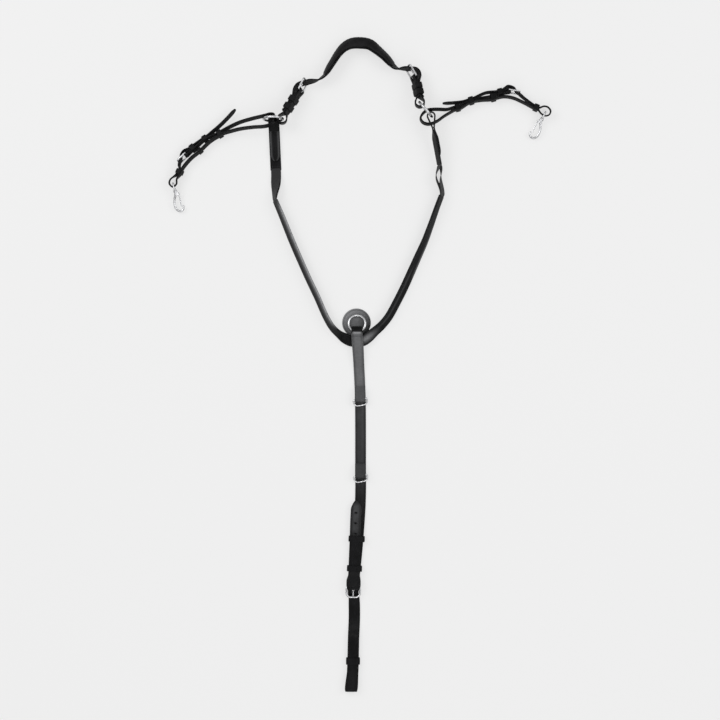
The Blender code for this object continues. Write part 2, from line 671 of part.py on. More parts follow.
def make_elastics(side, strap_end, strap_across, strap_along, tab_end, tab_across, tab_along, bulges):
    """Two plies of elastic from the shoulder strap's end to the tab's end, bowed apart between them."""
    start = strap_end + 2 * GAP * strap_along
    end = tab_end - 3 * GAP * tab_along
    middle = [start + 0.008 * strap_along, (start + end) / 2, end - 0.008 * tab_along]
    line = fine(smooth([start, middle[0], middle[1], middle[2], end]))
    share = np.linspace(0, 1, len(line))[:, None]
    turn = np.minimum(share / 0.7, 1)
    turn = turn * turn * (3 - 2 * turn)
    across = (1 - turn) * strap_across + turn * tab_across
    across /= np.linalg.norm(across, axis=1, keepdims=True)
    normal = np.cross(directions(line), across)
    spread = np.sin(math.pi * share) ** 2
    clear = ELASTIC_WIDTH / 2 * np.abs(across[:, 2]) + (ELASTIC_THICK + GAP + max(bulges) * spread[:, 0]) * np.abs(normal[:, 2])
    height = np.maximum(line[:, 2], clear + 3 * FLOOR_GAP)
    line[:, 2] = np.convolve(np.pad(height, 15, "edge"), np.ones(31) / 31, "valid")
    normal = np.cross(directions(line), across)
    for name, sign, bulge in (("front", 1, bulges[0]), ("back", -1, bulges[1])):
        offset = ELASTIC_THICK / 2 + GAP + bulge * spread
        moved = line + sign * offset * normal
        ply = ribbon("%s_elastic_%s" % (side, name), moved, across, ELASTIC_WIDTH, ELASTIC_THICK, eased=False)
        finish(ply, BLACK, 0.8, 0.0)


def make_tab(side, place, hollow, back):
    """The shoulder tab: pointed front ply, fold round the ring, back ply that runs on to the elastic."""
    turn = hollow + TAB_THICK / 2
    front = back + TAB_THICK + GAP
    meet = 2.6 * (hollow + TAB_THICK)
    path = [(TAB_FRONT_LENGTH, front)] + wrap((meet, front), (0, 0), turn, (meet, back), 1) + [(TAB_LENGTH, back)]
    tab = ribbon(side + "_shoulder_tab", fine(place.line([(x, y, 0) for x, y in path])), place.across, TAB_WIDTH,
                 TAB_THICK, tip_start=0.014)
    leather(tab)
    return place.at(TAB_LENGTH, back)


def make_wither_side(side, fold, towards, lean_side, frame_angle, keepers, arc, mirrored, hollow):
    """The chape from ring to buckle, the buckle and the two keepers; returns the billet's centreline."""
    flat = np.array((*(np.asarray(towards) - fold)[:2], towards[2] - fold[2]))
    length = float(np.linalg.norm(flat))
    along = unit(flat)
    inward = lean_side * unit(np.cross(along, UP))
    across = math.cos(WITHER_LEAN) * UP + math.sin(WITHER_LEAN) * inward
    place = Place(fold, along, -across if mirrored else across)
    size = WITHER_BUCKLE
    ply = (CHAPE_THICK + GAP) / 2
    on_ring = hollow + CHAPE_THICK / 2
    on_bar = size["bar"] + GAP + CHAPE_THICK / 2
    join = 0.6 * length
    meet = on_ring + 0.0050
    path = ([(join, -ply)] + wrap((meet, -ply), (0, 0), on_ring, (meet, ply), -1)
            + wrap((length - 0.010, ply), (length, 0), on_bar, (length - 0.010, -ply), -1) + [(join + 2 * GAP, -ply)])
    chape = ribbon(side + "_wither_chape", fine(place.line([(x, y, 0) for x, y in path])), place.across,
                   WITHER_BILLET_WIDTH, CHAPE_THICK)
    leather(chape)
    hinge = place.turned(length, 0, frame_angle)
    tongue_slot(chape, hinge, size, CHAPE_THICK)
    frame, tongue = buckle(side + "_wither", hinge, size, WITHER_BILLET_WIDTH)
    pivot(side + "_wither_buckle_hinge", hinge.origin, [frame, tongue])

    billet_out = ply + CHAPE_THICK / 2 + 2 * GAP + WITHER_THICK / 2
    for name, spot in zip(("upper", "lower"), keepers):
        keeper("%s_wither_keeper_%s" % (side, name), Place(place.at(spot), place.along, place.across),
               -ply - CHAPE_THICK / 2, billet_out + WITHER_THICK / 2 + 2 * GAP, WITHER_BILLET_WIDTH, KEEPER_LENGTH)
    billet = [(keepers[1] - 0.0120, billet_out + 0.0056), (keepers[1] - 0.0078, billet_out + 0.0009),
              (keepers[1] - 0.0064, billet_out),
              (keepers[1] + 0.004, billet_out), (keepers[0] - 0.004, billet_out), (keepers[0] + 0.0065, billet_out)]
    billet += [(length + x, y) for x, y in arc]
    return [tuple(place.at(x, y)) for x, y in billet], hinge, across


def make_withers(left_fold, right_fold, left_hollow, right_hollow):
    """Both wither buckles, and the strap and pad that run over the withers between them."""
    left, left_hinge, left_across = make_wither_side(
        "left", left_fold, np.array((-0.1168, 0.4840, 0.0185)), 1, math.radians(9), (0.047, 0.0285),
        [(-0.011, 0.0090), (-0.003, 0.0140), (0.008, 0.0135), (0.0155, 0.0075), (0.0205, 0.0005), (0.0255, -0.0045)],
        False, left_hollow)
    right, right_hinge, right_across = make_wither_side(
        "right", right_fold, np.array((0.1200, 0.5125, 0.0200)), -1, math.radians(-19), (0.0360, 0.0225),
        [(-0.0055, 0.0095), (0.000, 0.0130), (0.009, 0.0135), (0.0160, 0.0080), (0.0185, 0.0005), (0.0185, -0.0070),
         (0.0200, -0.0130)],
        True, right_hollow)
    crest = [(-0.081, 0.5075, 70), (-0.0655, 0.5205, 62), (-0.0525, 0.5405, 56), (-0.039, 0.5625, 52), (-0.0265, 0.5755, 50),
             (-0.011, 0.5835, 50), (0.008, 0.5855, 50), (0.027, 0.582, 50), (0.043, 0.5705, 52), (0.059, 0.557, 56),
             (0.074, 0.542, 62), (0.087, 0.5315, 70)]
    lie = FLOOR_GAP + WITHER_WIDTH / 2 * math.sin(math.radians(52)) + (WITHER_THICK / 2 + PAD_THICK) * math.cos(math.radians(52))
    rows = [(x, y, z, 75) for x, y, z in left]
    rows += [(x, y, lie + 0.001, roll) for x, y, roll in crest]
    rows += [(x, y, z, 75) for x, y, z in reversed(right)]
    line = fine(smooth(rows))
    across = rolled(line, line[:, 3], 1)
    run = np.concatenate([[0], np.cumsum(np.linalg.norm(np.diff(line[:, :3], axis=0), axis=1))])

    def run_at(point):
        return run[np.argmin(np.linalg.norm(line[:, :3] - np.asarray(point), axis=1))]

    # Level with each buckle out to its far bar, then turning over into the crest.
    for end, edge, spin in ((left_across, run_at(left[-1]), 1), (right_across, run_at(right[-1]), -1)):
        share = np.clip(spin * (run - edge) / 0.030, 0, 1)[:, None]
        share = share * share * (3 - 2 * share)
        across = share * across + (1 - share) * end
        across /= np.linalg.norm(across, axis=1, keepdims=True)
    first = run_at((*crest[0][:2], lie))
    last = run_at((*crest[-1][:2], lie))
    swell = np.clip(np.minimum(run - first, last - run) / 0.030, 0, 1)
    swell = swell * swell * (3 - 2 * swell)
    width = WITHER_BILLET_WIDTH + (WITHER_WIDTH - WITHER_BILLET_WIDTH) * swell
    strap = ribbon("wither_strap", line[:, :3], across, width, WITHER_THICK, tip_start=0.012, tip_end=0.012)
    tongue_hole(strap, left_hinge, WITHER_BUCKLE, 0.40, 0.92)
    tongue_hole(strap, right_hinge, WITHER_BUCKLE, 0.40, 0.86)
    leather(strap)

    inside = (run > first + 0.018) & (run < last - 0.012)
    part_line = line[inside][:, :3]
    part_across = across[inside]
    reach = np.linspace(0, 1, len(part_line))
    full = np.clip(np.minimum(reach, 1 - reach) / 0.12, 0, 1)
    full = 0.35 + 0.65 * np.sin(full * math.pi / 2)
    normal = np.cross(directions(part_line), part_across)
    thick = PAD_THICK * full
    pad_line = part_line - (WITHER_THICK / 2 + 3 * GAP + thick[:, None] / 2) * normal
    pad_width = np.minimum(width[inside] - 0.002, PAD_WIDTH)
    pad = ribbon("wither_pad", pad_line, part_across, pad_width, thick)
    leather(pad)


def make_snap(side, bar, heading, eye_across, turn):
    """A swivel snap hook: the eye on the strap's end loop, the hook with its swivel head, and the sprung gate."""
    eye_place = Place(bar, heading, eye_across)
    half = SADDLE_WIDTH / 2 + SNAP_EYE_SLACK + SNAP_WIRE
    outline = rounded_loop(SNAP_EYE_LENGTH, half, 0.003, 0.004, steps=4)
    collar_low = SNAP_EYE_LENGTH - SNAP_WIRE
    collar_high = collar_low + COLLAR_LENGTH
    loop = solid(wire(side + "_snap_eye_loop", eye_place.line([(x, 0, z) for x, z in outline]), SNAP_WIRE, closed=True))
    as_cutter(loop)
    eye = rod(side + "_snap_eye", eye_place, COLLAR_RADIUS, collar_low, collar_high, axis="along")
    boolean(eye, loop, "UNION")
    boolean(eye, rod(side + "_snap_eye_bore", eye_place, SHANK_RADIUS + GAP, collar_low - 0.002, collar_high + 0.002,
                     axis="along", cutter=True), "DIFFERENCE")
    steel(eye)

    place = Place(bar, heading, turn * UP)
    head = 0.003
    start = collar_low - GAP
    finish_neck = collar_high + GAP
    route = [(start - 0.0032, 0, 1.9), (start - 0.0026, 0, 2.7), (start - 0.0012, 0, 3.0), (start, 0, 3.0),
             (start + 0.0001, 0, 1000 * SHANK_RADIUS), (finish_neck, 0, 1000 * SHANK_RADIUS), (finish_neck + 0.0001, 0, 3.2)]
    bow = [(2.4, 0, 3.2), (6.0, -2.2, 2.9), (11.0, -4.9, 2.5), (17.5, -7.2, 2.3), (24.5, -8.4, 2.3), (31.0, -8.2, 2.3),
           (36.2, -5.8, 2.3), (39.4, -1.6, 2.3), (39.6, 3.0, 2.3), (37.2, 6.8, 2.2), (33.4, 8.6, 2.0), (29.4, 8.6, 1.8)]
    route += [(finish_neck + x / 1000, y / 1000, r) for x, y, r in bow]
    hook = solid(wire(side + "_snap_hook", place.line([(x, y, 0) for x, y, _ in route]), head,
                      radii=[r / 1000 for _, _, r in route]))
    knuckle = (finish_neck + 0.0042, 0.0058)
    cheek = GATE_BARREL + GAP
    for number, low in enumerate((-cheek - 0.0011, cheek)):
        boolean(hook, rod("%s_snap_cheek_%d" % (side, number), place, 0.0036, low, low + 0.0011, knuckle[0] - 0.0006,
                          knuckle[1] - 0.0022, sides=16, cutter=True), "UNION")
    boolean(hook, rod(side + "_snap_pin", place, GATE_PIN, -cheek - 0.0005, cheek + 0.0005, *knuckle, sides=10,
                      cutter=True), "UNION")
    steel(hook)

    gate = rod(side + "_snap_gate", place, 0.0020, -GATE_BARREL, GATE_BARREL, *knuckle, sides=16)
    arm = [(knuckle[0] + 0.0012, knuckle[1]), (knuckle[0] + 0.5 * GATE_LENGTH, knuckle[1] - 0.0002),
           (knuckle[0] + GATE_LENGTH, knuckle[1] - 0.0009)]
    arm = solid(wire(side + "_snap_gate_arm", place.line([(x, y, 0) for x, y in arm]), GATE_WIRE))
    boolean(gate, as_cutter(arm), "UNION")
    boolean(gate, rod(side + "_snap_gate_bore", place, GATE_PIN + GAP, -0.003, 0.003, *knuckle, sides=12, cutter=True),
            "DIFFERENCE")
    steel(gate)
    pivot(side + "_snap_gate_hinge", place.at(*knuckle), [gate])
    pivot(side + "_snap_swing", bar, [eye, hook])


def make_saddle_strap(side, spec, snap_bar, snap_heading):
    """One strap, sewn round its buckle, looped through the ring and the snap, and back through the buckle."""
    size = SADDLE_BUCKLE
    lean = spec["lean"]
    sign = spec["across_sign"]
    leaning = sign * (math.cos(lean) * UP + math.sin(lean) * unit((*spec["lean_to"], 0)))
    at_snap = sign * unit(UP - np.dot(UP, snap_heading) * snap_heading)

    def across_at(point):
        share = min(1.0, max(0.0, (math.dist(point[:2], snap_bar[:2]) - 0.010) / 0.013))
        share = share * share * (3 - 2 * share)
        return unit(share * leaning + (1 - share) * at_snap)

    place = Place((*spec["bar"], spec["height"]), (*spec["heading"], 0), leaning)
    ply = (SADDLE_THICK + GAP) / 2
    on_bar = size["bar"] + GAP + SADDLE_THICK / 2
    stack = ply + SADDLE_THICK + GAP
    round_bar = wrap((-0.0115, ply), (0, 0), on_bar, (-0.0115, -ply), -1)
    chape = place.line([(x, y, 0) for x, y in [(-CHAPE_LENGTH, ply)] + round_bar + [(-CHAPE_LENGTH, -ply)]])
    over = size["bar"] + 2 * GAP + 1.5 * SADDLE_THICK
    under = -(size["bar"] + GAP + SADDLE_THICK / 2)
    length = size["length"]
    frame_place = place.turned(0, 0, spec["frame_turn"])
    arc = over + spec["arc"]
    billet = [spec["leaving"]] + [tuple(frame_place.at(x, y)) for x, y in (
        (length + 0.0006, under - 0.0008), (0.66 * length, 0.0005), (0.40 * length, 0.72 * arc))]
    billet += [tuple(place.at(x, y)) for x, y in (
        (0.02 * length, arc), (-0.0065, 0.5 * (over + arc) - 0.0004), (-0.0130, stack + 0.0004), (-0.0240, stack))]

    def in_keeper(key, offset, shift=0.0):
        spot = spec[key]
        here = Place((spot[0], spot[1], spot[2]), (*spot[3], 0), across_at(spot))
        return tuple(here.at(shift, offset))

    half = 0.0058
    rows = [tuple(row) for row in chape[-1:]]
    for item in spec["route"]:
        if isinstance(item[0], str):
            key, offset, way = item
            rows += [in_keeper(key, offset, way * share * half) for share in (-1, 0, 1)]
        else:
            rows.append(item)
    tail_rows = list(billet)
    for item in spec["tip"]:
        if isinstance(item[0], str):
            key, offset, way = item
            tail_rows += [in_keeper(key, offset, way * share * half) for share in (-1, 0, 1)]
        else:
            tail_rows.append(item)
    whole = smooth(rows + tail_rows)
    line = fine(np.vstack([chape[:-1], whole]))
    across = np.array([across_at(point) for point in line])
    strap = ribbon(side + "_saddle_strap", line, across, SADDLE_WIDTH, SADDLE_THICK, tip_end=0.012,
                   miss=0.0001, eased=False)
    tongue_slot(strap, place, size, SADDLE_THICK)
    tongue_hole(strap, frame_place, size, 0.26, 0.80)
    leather(strap)
    frame, tongue = buckle(side + "_saddle", frame_place, size, SADDLE_WIDTH)
    pivot(side + "_saddle_buckle_hinge", place.origin, [frame, tongue])

    inner = SADDLE_WIDTH + SADDLE_KEEPER_ROOM
    for key, low, high in spec["keepers"]:
        spot = spec[key]
        here = Place((spot[0], spot[1], spot[2]), (*spot[3], 0), across_at(spot))
        keeper("%s_saddle_keeper_%s" % (side, key), here, low, high, inner, SADDLE_KEEPER_LENGTH, SADDLE_KEEPER_WALL)
    keeper("%s_saddle_keeper_buckle" % side, Place(place.at(-0.0185), place.along, place.across),
           -ply - SADDLE_THICK / 2, stack + SADDLE_THICK / 2 + SADDLE_KEEPER_ROOM, inner, SADDLE_KEEPER_LENGTH,
           SADDLE_KEEPER_WALL)
    return at_snap


PLY = SADDLE_THICK + GAP
SADDLE_HEIGHT = 0.0112
SNAP_HEIGHT = 0.0124
CHAPE_LENGTH = 0.022
SNAP_SEAT = 0.0078
HALF_THICK = SADDLE_THICK / 2 + SADDLE_KEEPER_ROOM
LEFT_SADDLE = dict(
    lean=math.radians(16), lean_to=(-0.58, 0.81), across_sign=-1, bar=(-0.356, 0.3525), height=SADDLE_HEIGHT,
    heading=(-0.786, -0.618), frame_turn=math.radians(-7), arc=0.0022, leaving=(-0.3705, 0.3282, 0.0121),
    tipward=(-0.317, 0.3850, SADDLE_HEIGHT, (-0.84, -0.54)),
    ringward=(-0.286, 0.3950, SADDLE_HEIGHT, (-0.86, -0.51)),
    loose=(-0.3275, 0.3595, SADDLE_HEIGHT, (-0.74, -0.67)),
    snapward=(-0.3700, 0.3155, SADDLE_HEIGHT + 0.0008, (-0.42, -0.91)),
    route=[("tipward", -PLY / 2, -1), ("ringward", 0.0030, -1), (-0.265, 0.4095, 0.0125), (-0.243, 0.4190, 0.0160),
           (-0.215, 0.4265, 0.0210), (-0.190, 0.4318, 0.0245), (-0.179, 0.4345, 0.0250), (-0.1715, 0.4333, 0.0250),
           (-0.1700, 0.4285, 0.0250), (-0.1712, 0.4220, 0.0250), (-0.1760, 0.4145, 0.0250), (-0.190, 0.4095, 0.0245),
           (-0.215, 0.4080, 0.0210), (-0.243, 0.4050, 0.0160), (-0.265, 0.4000, 0.0125), ("ringward", -0.0030, 1),
           (-0.306, 0.3795, SADDLE_HEIGHT), ("loose", 0.0, 1), (-0.3455, 0.3445, SADDLE_HEIGHT),
           (-0.3590, 0.3295, SADDLE_HEIGHT), ("snapward", -0.0026, 1), (-0.3762, 0.3000, SNAP_HEIGHT),
           (-0.3768, 0.2905, SNAP_HEIGHT), (-0.3840, 0.2840, SNAP_HEIGHT), (-0.3915, 0.2910, SNAP_HEIGHT),
           (-0.3893, 0.3000, SNAP_HEIGHT), ("snapward", 0.0026, -1)],
    tip=[("tipward", PLY / 2, -1), (-0.301, 0.3995, SADDLE_HEIGHT), (-0.288, 0.4105, SADDLE_HEIGHT),
         (-0.271, 0.4270, SADDLE_HEIGHT), (-0.253, 0.4470, SADDLE_HEIGHT)],
    keepers=[("tipward", -PLY / 2 - HALF_THICK, PLY / 2 + HALF_THICK),
             ("ringward", -0.0030 - HALF_THICK, 0.0030 + HALF_THICK), ("loose", -HALF_THICK, HALF_THICK),
             ("snapward", -0.0026 - HALF_THICK, 0.0026 + HALF_THICK)])
RIGHT_SADDLE = dict(
    lean=math.radians(4), lean_to=(0.0, 1.0), across_sign=1, bar=(0.319, 0.485), height=SADDLE_HEIGHT,
    heading=(0.966, 0.259), frame_turn=math.radians(-25), arc=0.0035, leaving=(0.3473, 0.4724, SADDLE_HEIGHT),
    tipward=(0.240, 0.4645, SADDLE_HEIGHT, (0.953, 0.302)),
    ringward=(0.212, 0.4500, SADDLE_HEIGHT, (0.965, 0.262)),
    loose=(0.2860, 0.4708, SADDLE_HEIGHT, (0.970, 0.243)),
    snapward=(0.3760, 0.4500, SADDLE_HEIGHT, (0.92, -0.39)),
    route=[("loose", 0.0040, -1), (0.262, 0.4700, SADDLE_HEIGHT), ("tipward", 0.0, -1), ("ringward", 0.0030, -1),
           (0.190, 0.4462, 0.0130), (0.172, 0.4455, 0.0190), (0.158, 0.4445, 0.0240), (0.148, 0.4425, 0.0265),
           (0.1397, 0.4370, 0.0255), (0.1347, 0.4280, 0.0200), (0.1390, 0.4195, 0.0120), (0.1485, 0.4162, 0.0080),
           (0.1580, 0.4175, 0.0068), (0.1690, 0.4225, 0.0070), (0.185, 0.4335, 0.0090), ("ringward", -0.0030, 1),
           ("tipward", -PLY, 1), (0.262, 0.4655, SADDLE_HEIGHT), ("loose", -0.0030, 1), (0.308, 0.4730, SADDLE_HEIGHT),
           (0.327, 0.4705, SADDLE_HEIGHT), (0.347, 0.4620, SADDLE_HEIGHT), ("snapward", -0.0026, 1),
           (0.3862, 0.4378, SNAP_HEIGHT), (0.3945, 0.4330, SNAP_HEIGHT), (0.4030, 0.4350, SNAP_HEIGHT),
           (0.4062, 0.4430, SNAP_HEIGHT), (0.4005, 0.4510, SNAP_HEIGHT), (0.3920, 0.4528, SNAP_HEIGHT),
           ("snapward", 0.0026, -1)],
    tip=[(0.2700, 0.4808, SADDLE_HEIGHT), ("tipward", PLY, -1), (0.223, 0.4625, SADDLE_HEIGHT),
         (0.201, 0.4600, SADDLE_HEIGHT), (0.180, 0.4590, SADDLE_HEIGHT)],
    keepers=[("tipward", -PLY - HALF_THICK, PLY + HALF_THICK), ("ringward", -0.0030 - HALF_THICK, 0.0030 + HALF_THICK),
             ("loose", -0.0030 - HALF_THICK, 0.0040 + HALF_THICK),
             ("snapward", -0.0026 - HALF_THICK, 0.0026 + HALF_THICK)])


def main():
    clear_scene()
    fold, hollow = make_chest()
    make_girth_strap(fold, hollow)
    make_girth_billet()
    make_girth_hardware()
    make_dee("upper", UPPER_DEE_Y)
    make_dee("lower", LOWER_DEE_Y)

    left_end = make_shoulder("left", LEFT_SHOULDER, 1)
    right_end = make_shoulder("right", RIGHT_SHOULDER, -1)

    tilt = math.radians(6)
    reach, tab_hollow = fold_on_ring(SHOULDER_RING_RADIUS, SHOULDER_RING_WIRE, TAB_WIDTH)
    chape_reach, _ = fold_on_ring(SHOULDER_RING_RADIUS, SHOULDER_RING_WIRE, WITHER_BILLET_WIDTH)

    # The left ring stands on its lower side in the tab's fold, nearly square to the floor.
    side_to_side = unit((1.0, 0.0, 0.0))
    rise = unit((0.0, math.sin(tilt), math.cos(tilt)))
    fold_height = FLOOR_GAP + TAB_THICK + tab_hollow
    left_centre = np.array((-0.1735, 0.4245, fold_height)) + reach * np.array((0.0, 0.0, rise[2]))
    left_ring = ring("left_shoulder_ring", left_centre, np.cross(side_to_side, rise), SHOULDER_RING_RADIUS,
                     SHOULDER_RING_WIRE)
    pivot("left_ring_turn", left_centre, [left_ring])
    left_tab = Place(left_centre - reach * rise, (0.0437, -1.0, 0.0), (-1.0, -0.0437, 0.0))
    tab_end = make_tab("left", left_tab, tab_hollow, -tab_hollow - TAB_THICK / 2)
    make_elastics("left", *left_end, tab_end, -left_tab.across, -left_tab.along, (0.0012, 0.0012))

    # The right ring stands on edge between the tab and the wither chape.
    down_right = unit((0.65, -0.76, 0.0))
    face = np.cross(down_right, UP)
    rise = math.cos(tilt) * UP + math.sin(tilt) * face
    right_centre = np.array((0.1440, 0.4440, 0.0285))
    right_ring = ring("right_shoulder_ring", right_centre, np.cross(down_right, rise), SHOULDER_RING_RADIUS,
                      SHOULDER_RING_WIRE)
    pivot("right_ring_turn", right_centre, [right_ring])
    right_fold = right_centre + reach * down_right
    right_tab = Place(right_fold, (0.1900, -0.968, -0.145), rise)
    tab_end = make_tab("right", right_tab, tab_hollow + 0.0012, -(TAB_THICK + GAP) / 2)
    make_elastics("right", *right_end, tab_end, right_tab.across, -right_tab.along, (0.0025, 0.0090))

    left_wither = left_centre + chape_reach * side_to_side
    right_wither = right_centre - chape_reach * down_right
    make_withers(left_wither, right_wither, 0.0079, 0.0079)

    left_bar = np.array((-0.3840, 0.2840 + SNAP_SEAT, SNAP_HEIGHT))
    right_bar = np.array((0.3955, 0.4330 + SNAP_SEAT, SNAP_HEIGHT))
    left_heading = unit((0.252, -0.962, -0.11))
    right_heading = unit((-0.45, -0.886, -0.11))
    left_across = make_saddle_strap("left", LEFT_SADDLE, left_bar, left_heading)
    right_across = make_saddle_strap("right", RIGHT_SADDLE, right_bar, right_heading)
    pivot("left_saddle_swing", left_centre, [bpy.data.objects["left_saddle_strap"]])
    pivot("right_saddle_swing", right_centre, [bpy.data.objects["right_saddle_strap"]])
    make_snap("left", left_bar, left_heading, left_across, 1)
    make_snap("right", right_bar, right_heading, right_across, -1)
    bpy.context.view_layer.update()


main()
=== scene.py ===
"""The looks of the hunting breastplate, laid out face up on a pale floor.

Metres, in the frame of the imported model: +Z up, the floor at z = 0, the origin under the centre of the
chest disc. Every strap, wire and stitch is a surface worked out with numpy: a profile carried along a path.
"""

import math

import bpy
import numpy as np
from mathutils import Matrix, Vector


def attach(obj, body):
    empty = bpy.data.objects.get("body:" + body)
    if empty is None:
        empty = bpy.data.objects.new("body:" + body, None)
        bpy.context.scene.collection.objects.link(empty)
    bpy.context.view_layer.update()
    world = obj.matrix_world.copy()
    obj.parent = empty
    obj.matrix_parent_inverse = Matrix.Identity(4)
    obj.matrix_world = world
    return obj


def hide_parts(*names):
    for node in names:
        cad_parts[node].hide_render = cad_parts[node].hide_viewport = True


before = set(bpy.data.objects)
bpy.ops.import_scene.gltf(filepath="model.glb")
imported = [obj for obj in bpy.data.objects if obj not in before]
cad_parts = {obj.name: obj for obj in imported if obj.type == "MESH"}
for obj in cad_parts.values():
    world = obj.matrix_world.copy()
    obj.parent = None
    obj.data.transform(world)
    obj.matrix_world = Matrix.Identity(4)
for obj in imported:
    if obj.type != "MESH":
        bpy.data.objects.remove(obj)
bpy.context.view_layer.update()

scene = bpy.context.scene
UP = np.array((0.0, 0.0, 1.0))
# The body that carries every fixed piece
BODY = "breastplate"

# Sizes of the parts
GAP = 0.0003
FLOOR_GAP = 0.0002
DISC_RADIUS, DISC_THICK = 0.030, 0.0035
CHEST_RING = dict(radius=0.0175, wire=0.0025)
CHEST_RING_DROP = 0.0018
SHOULDER_RING = dict(radius=0.020, wire=0.0025)
SHOULDER_WIDTH, SHOULDER_THICK = 0.023, 0.005
ELASTIC_WIDTH, ELASTIC_THICK = 0.0208, 0.0016
RIB_PITCH, WEFT_PITCH = 0.00125, 0.00095
TAB_WIDTH, TAB_THICK, TAB_LENGTH, TAB_FRONT_LENGTH = 0.023, 0.0032, 0.103, 0.084
WITHER_WIDTH, WITHER_THICK, WITHER_BILLET_WIDTH = 0.028, 0.0038, 0.019
PAD_WIDTH, PAD_THICK = 0.025, 0.006
PAD_INSETS = (0.018, 0.012)
CHAPE_THICK = 0.003
SADDLE_WIDTH, SADDLE_THICK = 0.013, 0.0032
SNAP_WIRE, SNAP_EYE_LENGTH, SNAP_EYE_SLACK = 0.0015, 0.0165, 0.001
COLLAR_RADIUS, COLLAR_LENGTH, SHANK_RADIUS = 0.0042, 0.005, 0.0019
GATE_WIRE, GATE_LENGTH, GATE_PIN, GATE_BARREL = 0.0013, 0.0265, 0.0009, 0.0015
GIRTH_WIDTH, GIRTH_THICK = 0.0229, 0.0035
LOOP_CAVITY, LOOP_SKEW, LOOP_DRIFT = 0.0034, 0.0002, 0.0034
LOOP_FOLD_Y, LOOP_SEWN_Y, LOOP_SEAM = -0.7668, -0.660, 0.034
DEE_WIRE, DEE_DEPTH, DEE_SHIFT = 0.00175, 0.014, 0.0008
DEE_CHAPE_THICK, DEE_CHAPE_LENGTH = 0.002, 0.025
HOLE_RADIUS, HOLE_PITCH = 0.0018, 0.022
KEEPER_WALL, KEEPER_LENGTH = 0.002, 0.012
SADDLE_KEEPER_WALL, SADDLE_KEEPER_LENGTH, SADDLE_KEEPER_ROOM = 0.0016, 0.0105, 0.0003
GIRTH_BUCKLE = dict(bar=0.002, length=0.0192, tongue=0.0014, corner=0.0095)
WITHER_BUCKLE = dict(bar=0.0018, length=0.026, tongue=0.0013, corner=0.004)
SADDLE_BUCKLE = dict(bar=0.0015, length=0.023, tongue=0.0011, corner=0.003)
BUCKLE_SIDE_ROOM = 0.001

# Leans, and the most that a tongue swings with its frame
WITHER_LEAN = math.radians(24)
RIGHT_ELASTIC_LEAN = math.radians(-8)
RIGHT_TAB_LEAN = math.radians(-23)
DEE_HANG = math.radians(11)
RING_LEAN = math.radians(6)
SWING = math.radians(14)

# Finish of the leather
ROW_MISS, ROW_SPACING = 0.00003, 0.0025
CREASE_DEPTH, CREASE_WIDTH = 0.00022, 0.00028
FACE_FALL = 0.00018
RIM_WIDTH = 0.0022
STITCH_LENGTH, STITCH_PITCH, STITCH_RADIUS, STITCH_SLANT = 0.0026, 0.0034, 0.00034, 0.16
SEAM_INSET, WIDE_SEAM_INSET, FINE_SEAM_INSET, CROSS_ROW_INSET = 0.0021, 0.0026, 0.0017, 0.0030
SEWN_IN = 0.004


# Shader arithmetic

class Value:
    """A node's output, on which plain arithmetic adds Math nodes."""

    def __init__(self, make, socket):
        self.make, self.socket = make, socket

    def math(self, operation, *values):
        return self.make.node("ShaderNodeMath", dict(enumerate(values)), operation=operation)

    def __add__(self, other):
        return self.math("ADD", self, other)

    def __radd__(self, other):
        return self.math("ADD", other, self)

    def __sub__(self, other):
        return self.math("SUBTRACT", self, other)

    def __rsub__(self, other):
        return self.math("SUBTRACT", other, self)

    def __mul__(self, other):
        return self.math("MULTIPLY", self, other)

    def __rmul__(self, other):
        return self.math("MULTIPLY", other, self)

    def sine(self):
        return self.math("SINE", self)

    def between(self, low, high):
        """0 below low, 1 above high, eased between them."""
        return self.make.node("ShaderNodeMapRange", {"Value": self, "From Min": low, "From Max": high},
                              interpolation_type="SMOOTHSTEP")


class Finish:
    """The nodes of a material or a world; node() adds any node and gives back its output."""

    def __init__(self, owner):
        owner.use_nodes = True
        self.owner, self.tree = owner, owner.node_tree
        self.tree.nodes.clear()

    def node(self, kind, values=None, output=0, stops=(), **settings):
        made = self.tree.nodes.new(kind)
        for key, setting in settings.items():
            setattr(made, key, setting)
        for count, (at, colour) in enumerate(stops):
            elements = made.color_ramp.elements
            element = elements[count] if count < len(elements) else elements.new(at)
            element.position, element.color = at, colour
        for key, value in (values or {}).items():
            if isinstance(value, Value):
                self.tree.links.new(value.socket, made.inputs[key])
            else:
                made.inputs[key].default_value = value
        return Value(self, made.outputs[output]) if made.outputs else None

    def noise(self, scale, detail=3.0, rough=0.5):
        return self.node("ShaderNodeTexNoise", {"Vector": self.node("ShaderNodeTexCoord", output="Object"),
                                                "Scale": scale, "Detail": detail, "Roughness": rough})

    def cells(self, scale):
        return self.node("ShaderNodeTexVoronoi", {"Vector": self.node("ShaderNodeTexCoord", output="Object"),
                                                  "Scale": scale})

    def attribute(self, name):
        return self.node("ShaderNodeAttribute", output="Fac", attribute_name=name)

    def mix(self, share, first, second):
        return self.node("ShaderNodeMix", {0: share, 6: first, 7: second}, output=2, data_type="RGBA")

    def bump(self, height, distance, strength=1.0):
        return self.node("ShaderNodeBump", {"Height": height, "Distance": distance, "Strength": strength})

    def surface(self, **sockets):
        """Ends the material in one Principled shader; spaces in socket names are underscores here."""
        values = {key.replace("_", " "): value for key, value in sockets.items()}
        return self.ended(self.node("ShaderNodeBsdfPrincipled", values))

    def ended(self, shader):
        self.node("ShaderNodeOutputMaterial", {"Surface": shader})
        return self.owner


def grey(level):
    return (level, level, level, 1.0)


INKY, JET = (0.0028, 0.0028, 0.0031, 1.0), (0.0068, 0.0069, 0.0076, 1.0)
# A pale grey for painted highlights: painted sheen on edges, folds and the chest disc, and the pale line on
# the tab
SHEEN_GREY = (0.30, 0.302, 0.31, 1.0)


